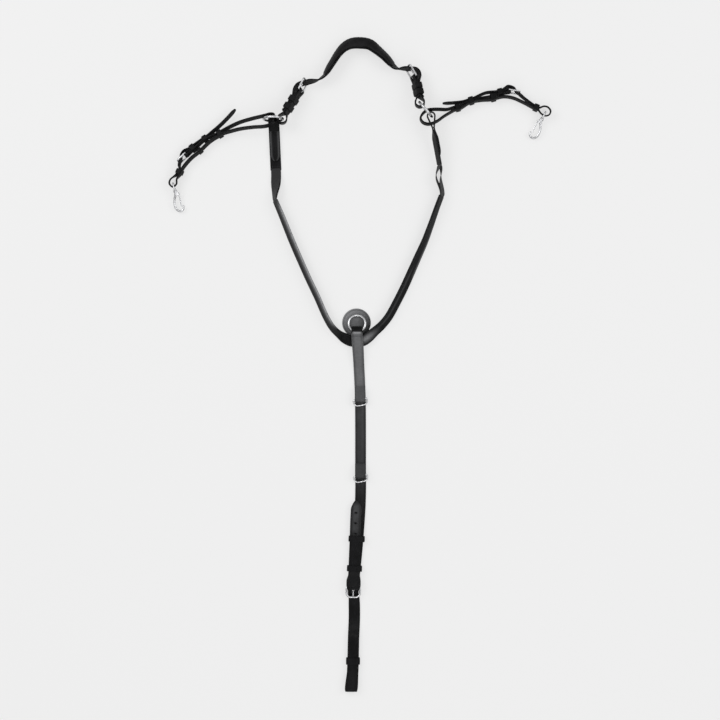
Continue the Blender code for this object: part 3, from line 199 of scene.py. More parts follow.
def bridle_leather(name, dark=INKY, light=JET, sheen_tone=None, matt=0.35):
    """Dyed bridle leather: fine grain and pores, cloudy colour, shiny burnished edges, and creases painted
    dark as painted shade.

    dark and light are the colours of the cloudy mottling. The colour given third is painted sheen, the grey
    of a painted reflection near the chest, spread by the piece's own attribute for it. The "pale" attribute
    spreads a paler grey: a painted highlight, and on the tab a pale line.
    """
    make = Finish(bpy.data.materials.new(name))
    cloud = make.noise(34.0, 5.0, 0.6)
    wear_and_sheen = make.noise(240.0, 3.0, 0.55)
    grain = make.cells(1150.0)
    pores = make.noise(2600.0, 2.0)
    edge = make.attribute("edge")
    colour = make.mix(cloud.between(0.36, 0.66), dark, light)
    if sheen_tone:
        # Painted sheen: a grey painted reflection, mixed in as far as the piece's attribute says and broken
        # up by noise
        colour = make.mix(make.attribute("dull") * (0.40 + 0.5 * wear_and_sheen + 0.6 * cloud), colour, sheen_tone)
    # Painted highlight: the pale grey, mixed in as far as the pale attribute says
    colour = make.mix(make.attribute("pale") * (0.55 + 0.7 * wear_and_sheen), colour, SHEEN_GREY)
    scuffed = (*(2.6 * part for part in light[:3]), 1.0)
    colour = make.mix(edge * wear_and_sheen.between(0.50, 0.72) * 0.5, colour, scuffed)
    # Painted shade: the pressed crease lines are painted near black
    colour = make.mix(make.attribute("crease") * 0.6, colour, grey(0.004))
    rough = matt + 0.16 * wear_and_sheen - 0.10 * edge + 0.10 * cloud
    normal = make.bump(grain * 0.6 + pores * 0.25 + wear_and_sheen * 0.5, 0.00009, 0.45)
    return make.surface(Base_Color=colour, Roughness=rough, Normal=normal, Specular_IOR_Level=0.11)


def waxed_thread():
    """Twisted waxed thread: fine fuzz in the colour and the bump."""
    make = Finish(bpy.data.materials.new("waxed_thread"))
    fuzz = make.noise(1500.0, 3.0)
    colour = make.mix(fuzz.between(0.35, 0.7), (0.020, 0.020, 0.021, 1.0), (0.075, 0.075, 0.078, 1.0))
    return make.surface(Base_Color=colour, Roughness=0.55 + 0.2 * fuzz, Normal=make.bump(fuzz, 0.0001, 0.6))


def elastic_webbing():
    """Woven elastic: ribs along the ply and weft threads across them, from the ply's own run and side."""
    make = Finish(bpy.data.materials.new("elastic_webbing"))
    ribs = (make.attribute("side") * (2 * math.pi / RIB_PITCH)).sine()
    weft = (make.attribute("run") * (2 * math.pi / WEFT_PITCH)).sine()
    fuzz = make.noise(1700.0, 3.0)
    weave = 0.5 + 0.28 * ribs + 0.22 * weft * ribs
    colour = make.mix(weave * 0.7 + fuzz * 0.3, (0.0035, 0.0035, 0.004, 1.0), (0.020, 0.020, 0.0215, 1.0))
    return make.surface(Base_Color=colour, Roughness=0.72 + 0.2 * fuzz, Sheen_Weight=0.15,
                        Normal=make.bump(weave + 0.4 * fuzz, 0.00016, 0.8))


def polished_steel():
    """Polished stainless steel with faint handling marks."""
    make = Finish(bpy.data.materials.new("polished_steel"))
    smear = make.noise(190.0, 4.0, 0.6)
    colour = make.mix(smear.between(0.3, 0.75), (0.56, 0.565, 0.58, 1.0), (0.72, 0.72, 0.73, 1.0))
    return make.surface(Base_Color=colour, Roughness=0.20 + 0.12 * smear, Metallic=1.0,
                        Normal=make.bump(make.noise(2100.0, 2.0), 0.00001, 0.08))


BLACK_LEATHER = bridle_leather("black_bridle_leather")
# Leather with painted sheen: a grey painted reflection of the overhead lights, where each piece's attribute
# puts it
GREY_LEATHER = bridle_leather("dulled_bridle_leather", sheen_tone=(0.150, 0.151, 0.156, 1.0), matt=0.22)
PAD_LEATHER = bridle_leather("soft_pad_leather", (0.0050, 0.0050, 0.0054, 1.0), (0.0120, 0.0121, 0.0130, 1.0))
THREAD = waxed_thread()
WEBBING = elastic_webbing()
STEEL = polished_steel()


# Lines and frames

def unit(vector):
    vector = np.asarray(vector, float)
    return vector / np.linalg.norm(vector, axis=-1, keepdims=True)


def square_to(along, across):
    """The across directions made square to the along directions."""
    return unit(across - np.sum(across * along, axis=-1, keepdims=True) * along)


class Place:
    """A local frame on a strap: along it, out of its face, and across its width."""

    def __init__(self, origin, along, across):
        self.origin = np.asarray(origin, float)
        self.along = unit(along)
        self.across = square_to(self.along, np.asarray(across, float))
        self.out = np.cross(self.across, self.along)

    def at(self, along, out=0.0, across=0.0):
        return self.origin + along * self.along + out * self.out + across * self.across

    def line(self, points):
        """World points of rows that give along, out and, if there is a third column, across."""
        points = np.asarray(points, float)
        return self.origin + points @ np.array((self.along, self.out, self.across))[:points.shape[-1]]

    def turned(self, along, angle):
        """The frame moved along, then turned about the across axis, towards out when positive."""
        return Place(self.at(along), math.cos(angle) * self.along + math.sin(angle) * self.out, self.across)


def smooth(points, per_span=16):
    """A centripetal Catmull-Rom curve through rows of points; columns after the third are carried with it."""
    points = np.asarray(points, float)
    points = np.vstack([2 * points[0] - points[1], points, 2 * points[-1] - points[-2]])
    rows = []
    for i in range(1, len(points) - 2):
        corners = points[i - 1:i + 3]
        steps = np.sqrt(np.linalg.norm(np.diff(corners[:, :3], axis=0), axis=1))
        knots = np.concatenate([[0], np.cumsum(steps)])
        t = np.linspace(knots[1], knots[2], per_span, endpoint=False)[:, None]

        def blend(a, b, low, high):
            return a * (high - t) / (high - low) + b * (t - low) / (high - low)

        a = [blend(corners[k], corners[k + 1], knots[k], knots[k + 1]) for k in range(3)]
        b = [blend(a[k], a[k + 1], knots[k], knots[k + 2]) for k in range(2)]
        rows.append(blend(b[0], b[1], knots[1], knots[2]))
    return np.vstack(rows + [points[-2:-1]])


def lengths(rows):
    """The distance run along a line up to each row."""
    return np.concatenate([[0], np.cumsum(np.linalg.norm(np.diff(rows[:, :3], axis=0), axis=1))])


def fine(rows, step=0.0005):
    """The same line with evenly spaced rows."""
    rows = np.asarray(rows, float)
    run = lengths(rows)
    even = np.linspace(0, run[-1], max(2, int(run[-1] / step)))
    return np.column_stack([np.interp(even, run, column) for column in rows.T])


def directions(line):
    return unit(np.gradient(line[:, :3], axis=0))


def circle(count):
    """Evenly spaced angles once round."""
    return np.linspace(0, 2 * math.pi, count, endpoint=False)


def bell(distance, spread, power=2):
    """1 at no distance, falling off as exp(-(distance / spread) ** power)."""
    return np.exp(-(distance / spread) ** power)


def dome(distance, reach, least):
    """1 beyond reach from an end, closing by a quarter circle to the least share at it."""
    return np.maximum(least, np.sqrt(1 - (1 - np.clip(distance / reach, 0, 1)) ** 2))


def eased(share):
    """0 to 1 with level ends: three times the square less twice the cube."""
    share = np.clip(share, 0, 1)
    return share * share * (3 - 2 * share)


def rolled(line, roll, side):
    """Width directions for a strap rolled from face up (0) to on edge (90 degrees), its inner edge rising."""
    along = directions(line)
    inward = unit(side * np.cross(along, UP))
    roll = np.radians(roll)[:, None]
    return np.cos(roll) * inward + np.sin(roll) * np.cross(inward, along) * side


def wrap(start, centre, radius, end, turn, steps=28):
    """Points from start, round a circle and on to end; turn is 1 anticlockwise and -1 clockwise."""
    start, centre, end = (np.asarray(point, float) for point in (start, centre, end))
    to_start, to_end = start - centre, end - centre
    first = math.atan2(to_start[1], to_start[0]) + turn * math.acos(radius / np.linalg.norm(to_start))
    last = math.atan2(to_end[1], to_end[0]) - turn * math.acos(radius / np.linalg.norm(to_end))
    angles = first + turn * np.linspace(0, (turn * (last - first)) % (2 * math.pi), steps)
    arc = [tuple(centre + radius * np.array((math.cos(a), math.sin(a)))) for a in angles]
    return [tuple(start)] + arc + [tuple(end)]


def stations(rows, miss, longest):
    """Indexes of the rows to keep: straight runs miss no row by more than miss and end by longest."""
    kept = {0, len(rows) - 1}
    spans = [(0, len(rows) - 1)]
    while spans:
        first, last = spans.pop()
        if last - first < 2:
            continue
        chord = rows[last] - rows[first]
        offset = rows[first:last + 1] - rows[first]
        size = max(float(np.dot(chord, chord)), 1e-12)
        share = np.clip(offset @ chord / size, 0, 1)[:, None]
        apart = np.linalg.norm(offset - share * chord, axis=1)
        worst = int(np.argmax(apart))
        if apart[worst] <= miss and math.sqrt(size) > longest:
            worst = (last - first) // 2
        elif apart[worst] <= miss:
            continue
        kept.add(first + worst)
        spans += [(first, first + worst), (first + worst, last)]
    return np.array(sorted(kept))


# Meshes

def add(name, points, faces, attributes=None, sharp=38):
    """A mesh object from points and faces, with its float attributes, shaded smooth but for sharp edges."""
    mesh = bpy.data.meshes.new(name)
    mesh.from_pydata(points.reshape(-1, 3).tolist(), [], faces)
    for key, values in (attributes or {}).items():
        layer = mesh.attributes.new(key, "FLOAT", "POINT")
        layer.data.foreach_set("value", np.ascontiguousarray(values, np.float32).ravel())
    mesh.shade_smooth()
    mesh.set_sharp_from_angle(angle=math.radians(sharp))
    made = bpy.data.objects.new(name, mesh)
    scene.collection.objects.link(made)
    return made


def skin(rows, sides, closed=False, start=0):
    """Faces between rows of points, each row joined round; closed joins the last row to the first.

    Open ends are capped by one face each.
    """
    index = start + np.arange(rows * sides).reshape(rows, sides)
    ahead = np.roll(index, -1, axis=0)
    quads = np.stack([index, np.roll(index, -1, axis=1), np.roll(ahead, -1, axis=1), ahead], -1)
    if closed:
        return quads.reshape(-1, 4).tolist()
    return quads[:-1].reshape(-1, 4).tolist() + [index[0, ::-1].tolist(), index[-1].tolist()]


def sections(centre, first, second, a, b):
    """A grid of points: at each centre, a section with coordinates a and b on two directions."""
    return centre[:, None] + a[..., None] * first[:, None] + b[..., None] * second[:, None]


def dress(thing, material, slot, body, *nodes):
    """Gives a finished piece its material, its body and the solid nodes that it stands for."""
    thing.data.materials.clear()
    thing.data.materials.append(material)
    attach(thing, body)
    if nodes:
        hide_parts(*nodes)
    return thing


def leather(thing, node, body=BODY):
    return dress(thing, BLACK_LEATHER, "black_leather", body, node)


# Gives a piece the leather with painted sheen
def dulled(thing, node):
    return dress(thing, GREY_LEATHER, "grey_leather", BODY, node)


class Shell:
    """Grids of points gathered into one mesh."""

    def __init__(self):
        self.points = []
        self.faces = []
        self.count = 0

    def grid(self, points, closed=False):
        rows, sides = points.shape[:2]
        self.faces += skin(rows, sides, closed, self.count)
        self.points.append(points.reshape(-1, 3))
        self.count += rows * sides
        return self

    def tube(self, path, plane, radius, sides=18, closed=False):
        """A round wire: circles of a radius square to a path that lies in a plane with that normal."""
        along = unit(np.roll(path, -1, axis=0) - np.roll(path, 1, axis=0)) if closed else directions(path)
        plane = np.broadcast_to(unit(plane), path.shape)
        radius = np.broadcast_to(radius, len(path))[:, None]
        a, b = radius * np.cos(circle(sides)), radius * np.sin(circle(sides))
        return self.grid(sections(path, np.cross(plane, along), plane, a, b), closed)

    def lathe(self, centre, axis, outline, sides=32, closed=False):
        """A turned piece: rows of radius and height swept round an axis, running up its outside."""
        axis = unit(axis)
        first = unit(np.cross(axis, (0.31, 0.52, 0.79)))
        turn = circle(sides)[:, None]
        around = np.cos(turn) * first + np.sin(turn) * np.cross(axis, first)
        outline = np.asarray(outline, float)[:, :, None, None]
        return self.grid(centre + outline[:, 0] * around + outline[:, 1] * axis, closed)

    def piece(self, name):
        return add(name, np.vstack(self.points), self.faces)

    def steel(self, node, body=None):
        """The finished steel piece; without a body it rides the one that has its node's name."""
        return dress(self.piece(body or node + "_steel"), STEEL, "polished_steel", body or node, node)


class Strap:
    """A leather strap: a section carried along a line.

    The section is a flat band with elliptic edges. Each face falls towards its edges with the fourth power
    of the distance from the middle, and a creased line is pressed into it a set distance from each edge. A
    tip length draws that end in with a sine to a rounded point, and both ends are rounded off.
    """

    def __init__(self, line, across, width, thick, tip_start=0.0, tip_end=0.0, crease=SEAM_INSET,
                 back_crease=False):
        self.run, self.centre, self.along = lengths(line), line[:, :3], directions(line)
        self.across = square_to(self.along, np.broadcast_to(np.asarray(across, float), self.centre.shape))
        self.thick = np.broadcast_to(thick, len(line))
        self.width = np.array(np.broadcast_to(width, len(line)), float)
        self.full = float(self.width.max())
        for tip, distance in ((tip_start, self.run), (tip_end, self.run[-1] - self.run)):
            if tip:
                self.width *= 0.3 + 0.7 * np.sin(np.clip(distance / tip, 0, 1) * math.pi / 2)
        self.crease, self.back_crease, self.tips = crease, back_crease, (tip_start, tip_end)

    def rows(self):
        """Distances at which the sections stand: close in bends and at the ends, wide apart elsewhere."""
        shape = np.hstack([self.centre, 0.4 * self.width[:, None] * self.across])
        spots = self.run[stations(shape, ROW_MISS, ROW_SPACING)]
        ease = 0.42 * float(self.thick.min())
        near = ease * np.array((0.0, 0.05, 0.16, 0.34, 0.6, 1.0))
        total = self.run[-1]
        spots = spots[(spots > 1.2 * ease) & (spots < total - 1.2 * ease)]
        start, end = (tip * np.array((0.15, 0.25, 0.4, 0.6, 0.8, 1.0)) for tip in self.tips)
        return np.unique(np.concatenate([near, spots, start, total - end, total - near])), ease

    def at(self, spots):
        """Centre, width direction, face normal, half width and half thickness at some distances."""
        def pick(values):
            return np.column_stack([np.interp(spots, self.run, column) for column in values.T])

        along = unit(pick(self.along))
        across = square_to(along, unit(pick(self.across)))
        half = np.interp(spots, self.run, self.width) / 2
        deep = np.interp(spots, self.run, self.thick) / 2
        return pick(self.centre), across, np.cross(along, across), half, deep

    def pressed(self, side, half, front, width=CREASE_WIDTH):
        """How deep a face is creased, 0 to 1, side being the distance from the centreline."""
        if self.crease and (front or self.back_crease):
            return bell(np.abs(side) - (half - self.crease), width)
        return 0 * side

    def height(self, side, half, deep, front):
        """How far the face lies from the middle of the ply."""
        fall = FACE_FALL * (np.abs(side) / np.maximum(half, 1e-5)) ** 4
        return deep - fall - CREASE_DEPTH * self.pressed(side, half, front)

    def mesh(self, node, **tints):
        """The strap's mesh; each tint is a rule that gives an attribute from run and side, -1 to 1."""
        spots, ease = self.rows()
        centre, across, normal, half, deep = self.at(spots)
        to_end = np.minimum(spots, spots[-1] - spots)
        inset = ease - np.sqrt(np.maximum(0, ease ** 2 - np.maximum(0, ease - to_end) ** 2))
        round_off = (np.maximum(deep - inset, 0.12 * deep) / deep)[:, None]
        half, deep = np.maximum(half - inset, 0.0003)[:, None], deep[:, None]

        arc = np.radians((-62, -38, -14, 14, 38, 62))
        right = half - 0.84 * deep * (1 - np.cos(arc))
        edge_height = deep * np.sin(arc)
        steps = self.crease + np.array((-0.75, -0.3, 0.0, 0.3, 0.75)) * 0.001 if self.crease else (0.0016,)
        offsets = np.concatenate([[0.45 * float(deep.mean())], steps])
        shoulder = half - offsets * np.minimum(1, half / (self.full / 2))
        middle = shoulder[:, -1:] * np.array((0.5, 0.0))
        front = np.hstack([shoulder, middle, -middle[:, :1], -shoulder[:, ::-1]])
        back = -front
        if not self.back_crease:
            back = -np.hstack([shoulder[:, :1], middle, -middle[:, :1], -shoulder[:, :1]])
        w = np.hstack([right, front, -right[:, ::-1], back])
        n = np.hstack([edge_height, self.height(front, half, deep, True), edge_height[:, ::-1],
                       -self.height(back, half, deep, False)]) * round_off
        grid = sections(centre, across, normal, w, n)

        ones = np.ones_like(right)
        front_rim, back_rim = (np.clip(1 - (half - np.abs(face)) / RIM_WIDTH, 0, 1) for face in (front, back))
        creased = self.pressed(front, half, True, 0.0004)
        attributes = dict(edge=np.hstack([ones, front_rim, ones, back_rim]),
                          crease=np.hstack([0 * ones, creased, 0 * ones, 0 * back]))
        for key, rule in tints.items():
            attributes[key] = np.broadcast_to(rule(spots[:, None], w / half), w.shape)
        return add(node + "_leather", grid, skin(*w.shape), attributes)

    def on_face(self, spots, w, face, creased=0.0):
        """Points, width directions and normals of threads that lie on a face, 1 the front and -1 the back."""
        centre, across, normal, half, deep = self.at(spots)
        height = deep - FACE_FALL * (np.abs(w) / half) ** 4 - 0.35 * STITCH_RADIUS
        height = height - 0.7 * CREASE_DEPTH * creased
        return centre + w[:, None] * across + (face * height)[:, None] * normal, across, face * normal

    def seam(self, side, face, first, last):
        """Stitches along the strap: side is how far from its edge they run, negative on the other edge."""
        count = max(1, int(round((last - first) / STITCH_PITCH)))
        spots = first + (np.arange(count) + 0.5) * (last - first) / count
        half = np.interp(spots, self.run, self.width) / 2
        w = np.sign(side) * (half - abs(side) * np.minimum(1, half / (self.full / 2)))
        point, across, out = self.on_face(spots, w, face, self.pressed(w, half, face > 0))
        return np.stack([point, unit(np.gradient(point, axis=0)), out], axis=1)

    def cross_row(self, spot, face):
        """A row of stitches straight across the strap, a distance along it."""
        half = float(np.interp(spot, self.run, self.width)) / 2 - CROSS_ROW_INSET
        count = max(2, int(round(2 * half / STITCH_PITCH)))
        w = (half - half / count) * np.linspace(-1, 1, count)
        return np.stack(self.on_face(np.full(count, spot), w, face), axis=1)

    def sew(self, node, *seams, inset=SEAM_INSET, rows=(), body=BODY, slot="black_leather"):
        """Sews both edges along each seam of face, first and last, and across the strap at each row."""
        sets = [self.seam(side, *seam) for seam in seams for side in (inset, -inset)]
        sewn(node, np.vstack(sets + [self.cross_row(*row) for row in rows]), body, slot)


def sewn(node, stitches, body=BODY, slot="black_leather"):
    """One mesh of many stitches.

    Each is a round thread of five rings whose radius and height follow a half ellipse along its length, so
    that it dips into the leather at both ends; it slants a little across the seam.
    """
    sides = 6
    t = np.array((-0.98, -0.72, 0.0, 0.72, 0.98))
    thick = STITCH_RADIUS * (np.sqrt(1 - t ** 2) ** 0.6)[:, None]
    local = np.stack([
        np.broadcast_to((t * STITCH_LENGTH / 2)[:, None], (len(t), sides)),
        thick * np.cos(circle(sides)),
        thick * np.sin(circle(sides)) - (0.9 * STITCH_RADIUS * t ** 4)[:, None]], -1)
    point, along, out = stitches[:, 0], stitches[:, 1], stitches[:, 2]
    along = square_to(out, along)
    slanted = unit(along + STITCH_SLANT * np.cross(out, along))
    frames = np.stack([slanted, np.cross(out, slanted), out], axis=1)
    points = np.einsum("rsk,nkj->nrsj", local, frames) + point[:, None, None, :]
    shift = (np.arange(len(point)) * len(t) * sides)[:, None, None]
    faces = []
    for size in (4, sides):
        single = np.array([face for face in skin(len(t), sides) if len(face) == size])
        faces += (single + shift).reshape(-1, size).tolist()
    return dress(add(node + "_stitching", points, faces, sharp=80), THREAD, slot, body)


def carve(thing, cutters):
    """Cuts a list of closed grids out of a piece."""
    shell = Shell()
    for points in cutters:
        shell.grid(points)
    cutter = shell.piece(thing.name + "_cutter")
    modifier = thing.modifiers.new("holes", "BOOLEAN")
    modifier.operation, modifier.solver, modifier.object = "DIFFERENCE", "MANIFOLD", cutter
    bpy.context.view_layer.update()
    graph = bpy.context.evaluated_depsgraph_get()
    old = thing.data
    thing.data = bpy.data.meshes.new_from_object(thing.evaluated_get(graph), preserve_all_data_layers=True,
                                                 depsgraph=graph)
    thing.modifiers.clear()
    bpy.data.meshes.remove(old)
    thing.data.name = thing.name
    thing.data.set_sharp_from_angle(angle=math.radians(38))
    bpy.data.objects.remove(cutter)
    return thing


def slot_cutter(place, low, high, radius):
    """A closed grid: a slot with round ends, its outline in along and across, from low to high on out."""
    bow = min(radius, (high[0] - low[0]) / 2)
    half = np.linspace(-math.pi / 2, math.pi / 2, 9)
    outline = [(high[0] - bow + bow * math.cos(a), radius * math.sin(a)) for a in half]
    outline += [(low[0] + bow - bow * math.cos(a), -radius * math.sin(a)) for a in half]
    # along x across runs against out, so the outline is turned round to keep the faces outward
    return place.line(np.array([[(x, out, y) for x, y in reversed(outline)] for out in (low[1], high[1])]))


def tongue_slot(place, size, thick):
    """The slot in a fold that the tongue's hook turns in."""
    reach = size["bar"] + thick + 3 * GAP
    low, high = (-1.3 * reach, -1.5 * reach), (1.5 * reach, 1.5 * reach)
    return slot_cutter(place, low, high, size["tongue"] + 2 * GAP)


def tongue_hole(place, size, first, last):
    """The hole that the tongue stands through, between two shares of the frame's length."""
    hook = size["bar"] + GAP + size["tongue"]
    room = size["tongue"] + 2 * GAP
    first, last = first * size["length"], last * size["length"]
    return slot_cutter(place, (first, hook - room), (last, hook + room + math.sin(SWING) * last), room)


def keeper(node, place, low, high, strap_width, length=KEEPER_LENGTH, wall=KEEPER_WALL, body=BODY):
    """A leather loop round the plies: a band section with elliptic edges carried round a rounded rectangle.

    The band's outer face is crowned by the square of the distance from its middle, with a crease pressed in
    near each edge.
    """
    half = np.array(((high - low) / 2, strap_width / 2)) + GAP + wall / 2
    corner = min(0.95 * wall, 0.9 * half[0])
    corners = ((1, 1), (-1, 1), (-1, -1), (1, -1))
    path, headings = [], []
    for k, spot in enumerate(corners):
        turn = (k + np.linspace(0, 1, 6)[:, None]) * math.pi / 2
        heading = np.hstack([np.cos(turn), np.sin(turn)])
        arc = (half - corner) * spot + corner * heading
        stop = (half - corner) * corners[(k + 1) % 4] + corner * heading[-1]
        straight = arc[-1] + np.linspace(0, 1, 4 if k % 2 else 7)[1:-1, None] * (stop - arc[-1])
        path += [arc, straight]
        headings += [heading, np.broadcast_to(heading[-1], straight.shape)]
    axes = np.array((place.out, place.across))
    radial = np.vstack(headings) @ axes
    a, b = length / 2, wall / 2
    ends = np.radians((-60, -20, 20, 60))
    face = np.array((0.85, 0.6, 0.3, 0.0, -0.3, -0.6, -0.85)) * (a - 0.4 * b)
    crowned = b - 0.22 * b * (face / a) ** 2 - 0.10 * b * bell(np.abs(face) - 0.72 * a, 0.1 * a)
    u = np.concatenate([a - b + b * np.cos(ends), face, b - a - b * np.cos(ends[::-1]), -face])
    v = np.concatenate([b * np.sin(ends), crowned, b * np.sin(ends[::-1]), -b + 0 * face])
    grid = sections(place.at(0, (low + high) / 2) + np.vstack(path) @ axes,
                    np.broadcast_to(place.along, radial.shape), radial, u[None], v[None])
    rim = np.broadcast_to(np.concatenate([np.ones(4), 0 * face, np.ones(4), 0 * face])[None], grid.shape[:2])
    made = add(node + "_leather", grid, skin(*grid.shape[:2], closed=True), dict(edge=rim, crease=0 * rim))
    return leather(made, node, body)


def o_ring(node, centre, normal, size):
    """An O-ring of round wire."""
    normal = unit(normal)
    first = unit(np.cross(normal, (0.3, 0.9, 0.2)))
    turn = circle(96)[:, None]
    path = centre + size["radius"] * (np.cos(turn) * first + np.sin(turn) * np.cross(normal, first))
    Shell().tube(path, normal, size["wire"], 20, closed=True).steel(node)


def fold_on_ring(size, strap_width):
    """How far from a ring's centre a strap's fold sits, and the radius of the hollow that clears the wire."""
    outer = size["radius"] + size["wire"]
    inner = math.sqrt((size["radius"] - size["wire"]) ** 2 - (strap_width / 2) ** 2)
    return (outer + inner) / 2, (outer - inner) / 2 + GAP


def wire_outline(length, half, near, far, spacing=0.0007, steps=10):
    """A buckle's evenly spaced outline: the bar at along = 0, the far bar at length, two corner radii."""
    points = []
    for x, y, radius, first in ((near, -half + near, near, 1.0), (length - far, -half + far, far, 1.5),
                                (length - far, half - far, far, 0.0), (near, half - near, near, 0.5)):
        for a in np.linspace(first * math.pi, (first + 0.5) * math.pi, steps):
            points.append((x + radius * math.cos(a), 0, y + radius * math.sin(a)))
    return fine(points + points[:1], spacing)[:-1]


def buckle(side, place, size, strap_width):
    """A wire buckle: the frame a closed round wire, the tongue a tapered wire hooked round the bar."""
    bar, tongue, end = size["bar"], size["tongue"], size["length"]
    half = strap_width / 2 + BUCKLE_SIDE_ROOM + bar
    frame_path = place.line(wire_outline(end, half, 1.4 * bar, size["corner"]))
    Shell().tube(frame_path, place.out, bar, 20, closed=True).steel(side + "_buckle", side + "_buckle_frame")
    hook = bar + GAP + tongue
    bend = [(hook * math.cos(a), hook * math.sin(a), 0) for a in np.radians(np.linspace(-20, -270, 28))]
    reach = [(0.5 * end, hook, 0), (end - bar, hook, 0), (end + 0.2 * bar, hook - 0.05 * tongue, 0),
             (end + 0.9 * bar, hook - 0.3 * tongue, 0)]
    path = fine(smooth(bend + reach, 8))
    run = lengths(path)
    to_end = run[-1] - run
    radii = tongue * (0.62 + 0.38 * eased(to_end / (0.35 * end)))
    radii = radii * dome(to_end, 0.6 * tongue, 0.2) * dome(run, 0.6 * tongue, 0.2)
    Shell().tube(place.line(path), -place.across, radii, 14).steel(side + "_tongue", side + "_buckle_tongue")


# The chest

GIRTH_ROUTE = np.array((
    (0.0010, -0.030), (0.0035, -0.057), (0.0050, -0.089), (0.0066, -0.120), (0.0079, -0.152),
    (0.0084, -0.185), (0.0086, -0.225), (0.0086, -0.300), (0.0088, -0.345), (0.0078, -0.385),
    (0.0056, -0.420), (0.0034, -0.450), (0.0000, -0.490), (-0.0032, -0.520), (-0.0055, -0.545)))
GIRTH_BAR = (-0.0067, -0.556)
UPPER_DEE_Y, LOWER_DEE_Y = -0.160, -0.320
UPPER_KEEPER_Y, LOWER_KEEPER_Y = -0.453, -0.515
BAND_Y = -0.039


def girth_x(y):
    return float(np.interp(-y, -GIRTH_ROUTE[:, 1], GIRTH_ROUTE[:, 0]))


def make_chest():
    """The round leather safe, its stitched circle, and the ring that lies on it in the girth strap's fold."""
    r, t = DISC_RADIUS, DISC_THICK
    rim = 0.42 * t
    outline = [(0.0004, 0.0), (0.5 * r, 0.0)]
    outline += [(r - rim + rim * math.cos(a), t / 2 + (t / 2) * math.sin(a))
                for a in np.radians(np.linspace(-90, 90, 11))]
    groove = r - 0.0032
    for radius in (*(groove + step for step in (0.0009, 0.0004, 0.0, -0.0004, -0.0009)), 0.8 * r, 0.7 * r,
                   0.5 * r, 0.3 * r, 0.0004):
        outline.append((radius, t - 0.0003 * bell(radius - groove, 0.0004)))
    outline = np.array(outline)
    shell = Shell().lathe((0, 0, 0), UP, outline, 96)
    # Painted light: the disc gets more painted sheen, and a pale painted highlight, towards its upper left,
    # as if lit from there
    lit = shell.points[0].reshape(-1, 96, 3) @ unit((-0.75, 0.65, 0.0)) / r
    out = np.repeat(outline[:, :1], 96, axis=1)
    tints = dict(edge=np.clip((out - (r - 0.0024)) / 0.0012, 0, 1), crease=bell(out - groove, 0.0005),
                 dull=np.clip(0.85 + 0.75 * lit, 0.1, 1.6), pale=np.clip(0.9 * (lit - 0.35), 0.0, 0.45))
    dulled(add("chest_disc_leather", shell.points[0], shell.faces, tints), "chest_disc")
    turn = circle(int(2 * math.pi * groove / STITCH_PITCH))[:, None]
    spot = groove * np.hstack([np.cos(turn), np.sin(turn), 0 * turn]) + (t - 0.00018) * UP
    round_way = np.hstack([-np.sin(turn), np.cos(turn), 0 * turn])
    stitches = np.stack([spot, round_way, np.broadcast_to(UP, spot.shape)], axis=1)
    sewn("chest_disc", stitches, slot="grey_leather")

    reach, hollow = fold_on_ring(CHEST_RING, GIRTH_WIDTH)
    top = DISC_THICK + GAP
    fold_height = top + GIRTH_THICK + hollow
    tilt = math.asin((fold_height - top - CHEST_RING["wire"]) / (reach + CHEST_RING["radius"]))
    fold = np.array((GIRTH_ROUTE[0][0], -CHEST_RING_DROP - reach * math.cos(tilt), fold_height))
    centre = fold + reach * np.array((0.0, math.cos(tilt), -math.sin(tilt)))
    o_ring("chest_ring", centre, (0.0, math.sin(tilt), math.cos(tilt)), CHEST_RING)
    return fold, hollow


def girth_buckle_place():
    height = GIRTH_BUCKLE["bar"] + GAP + GIRTH_THICK + FLOOR_GAP
    return Place((*GIRTH_BAR, height), (-0.03, -1.0, 0.10), (-1, 0, 0))


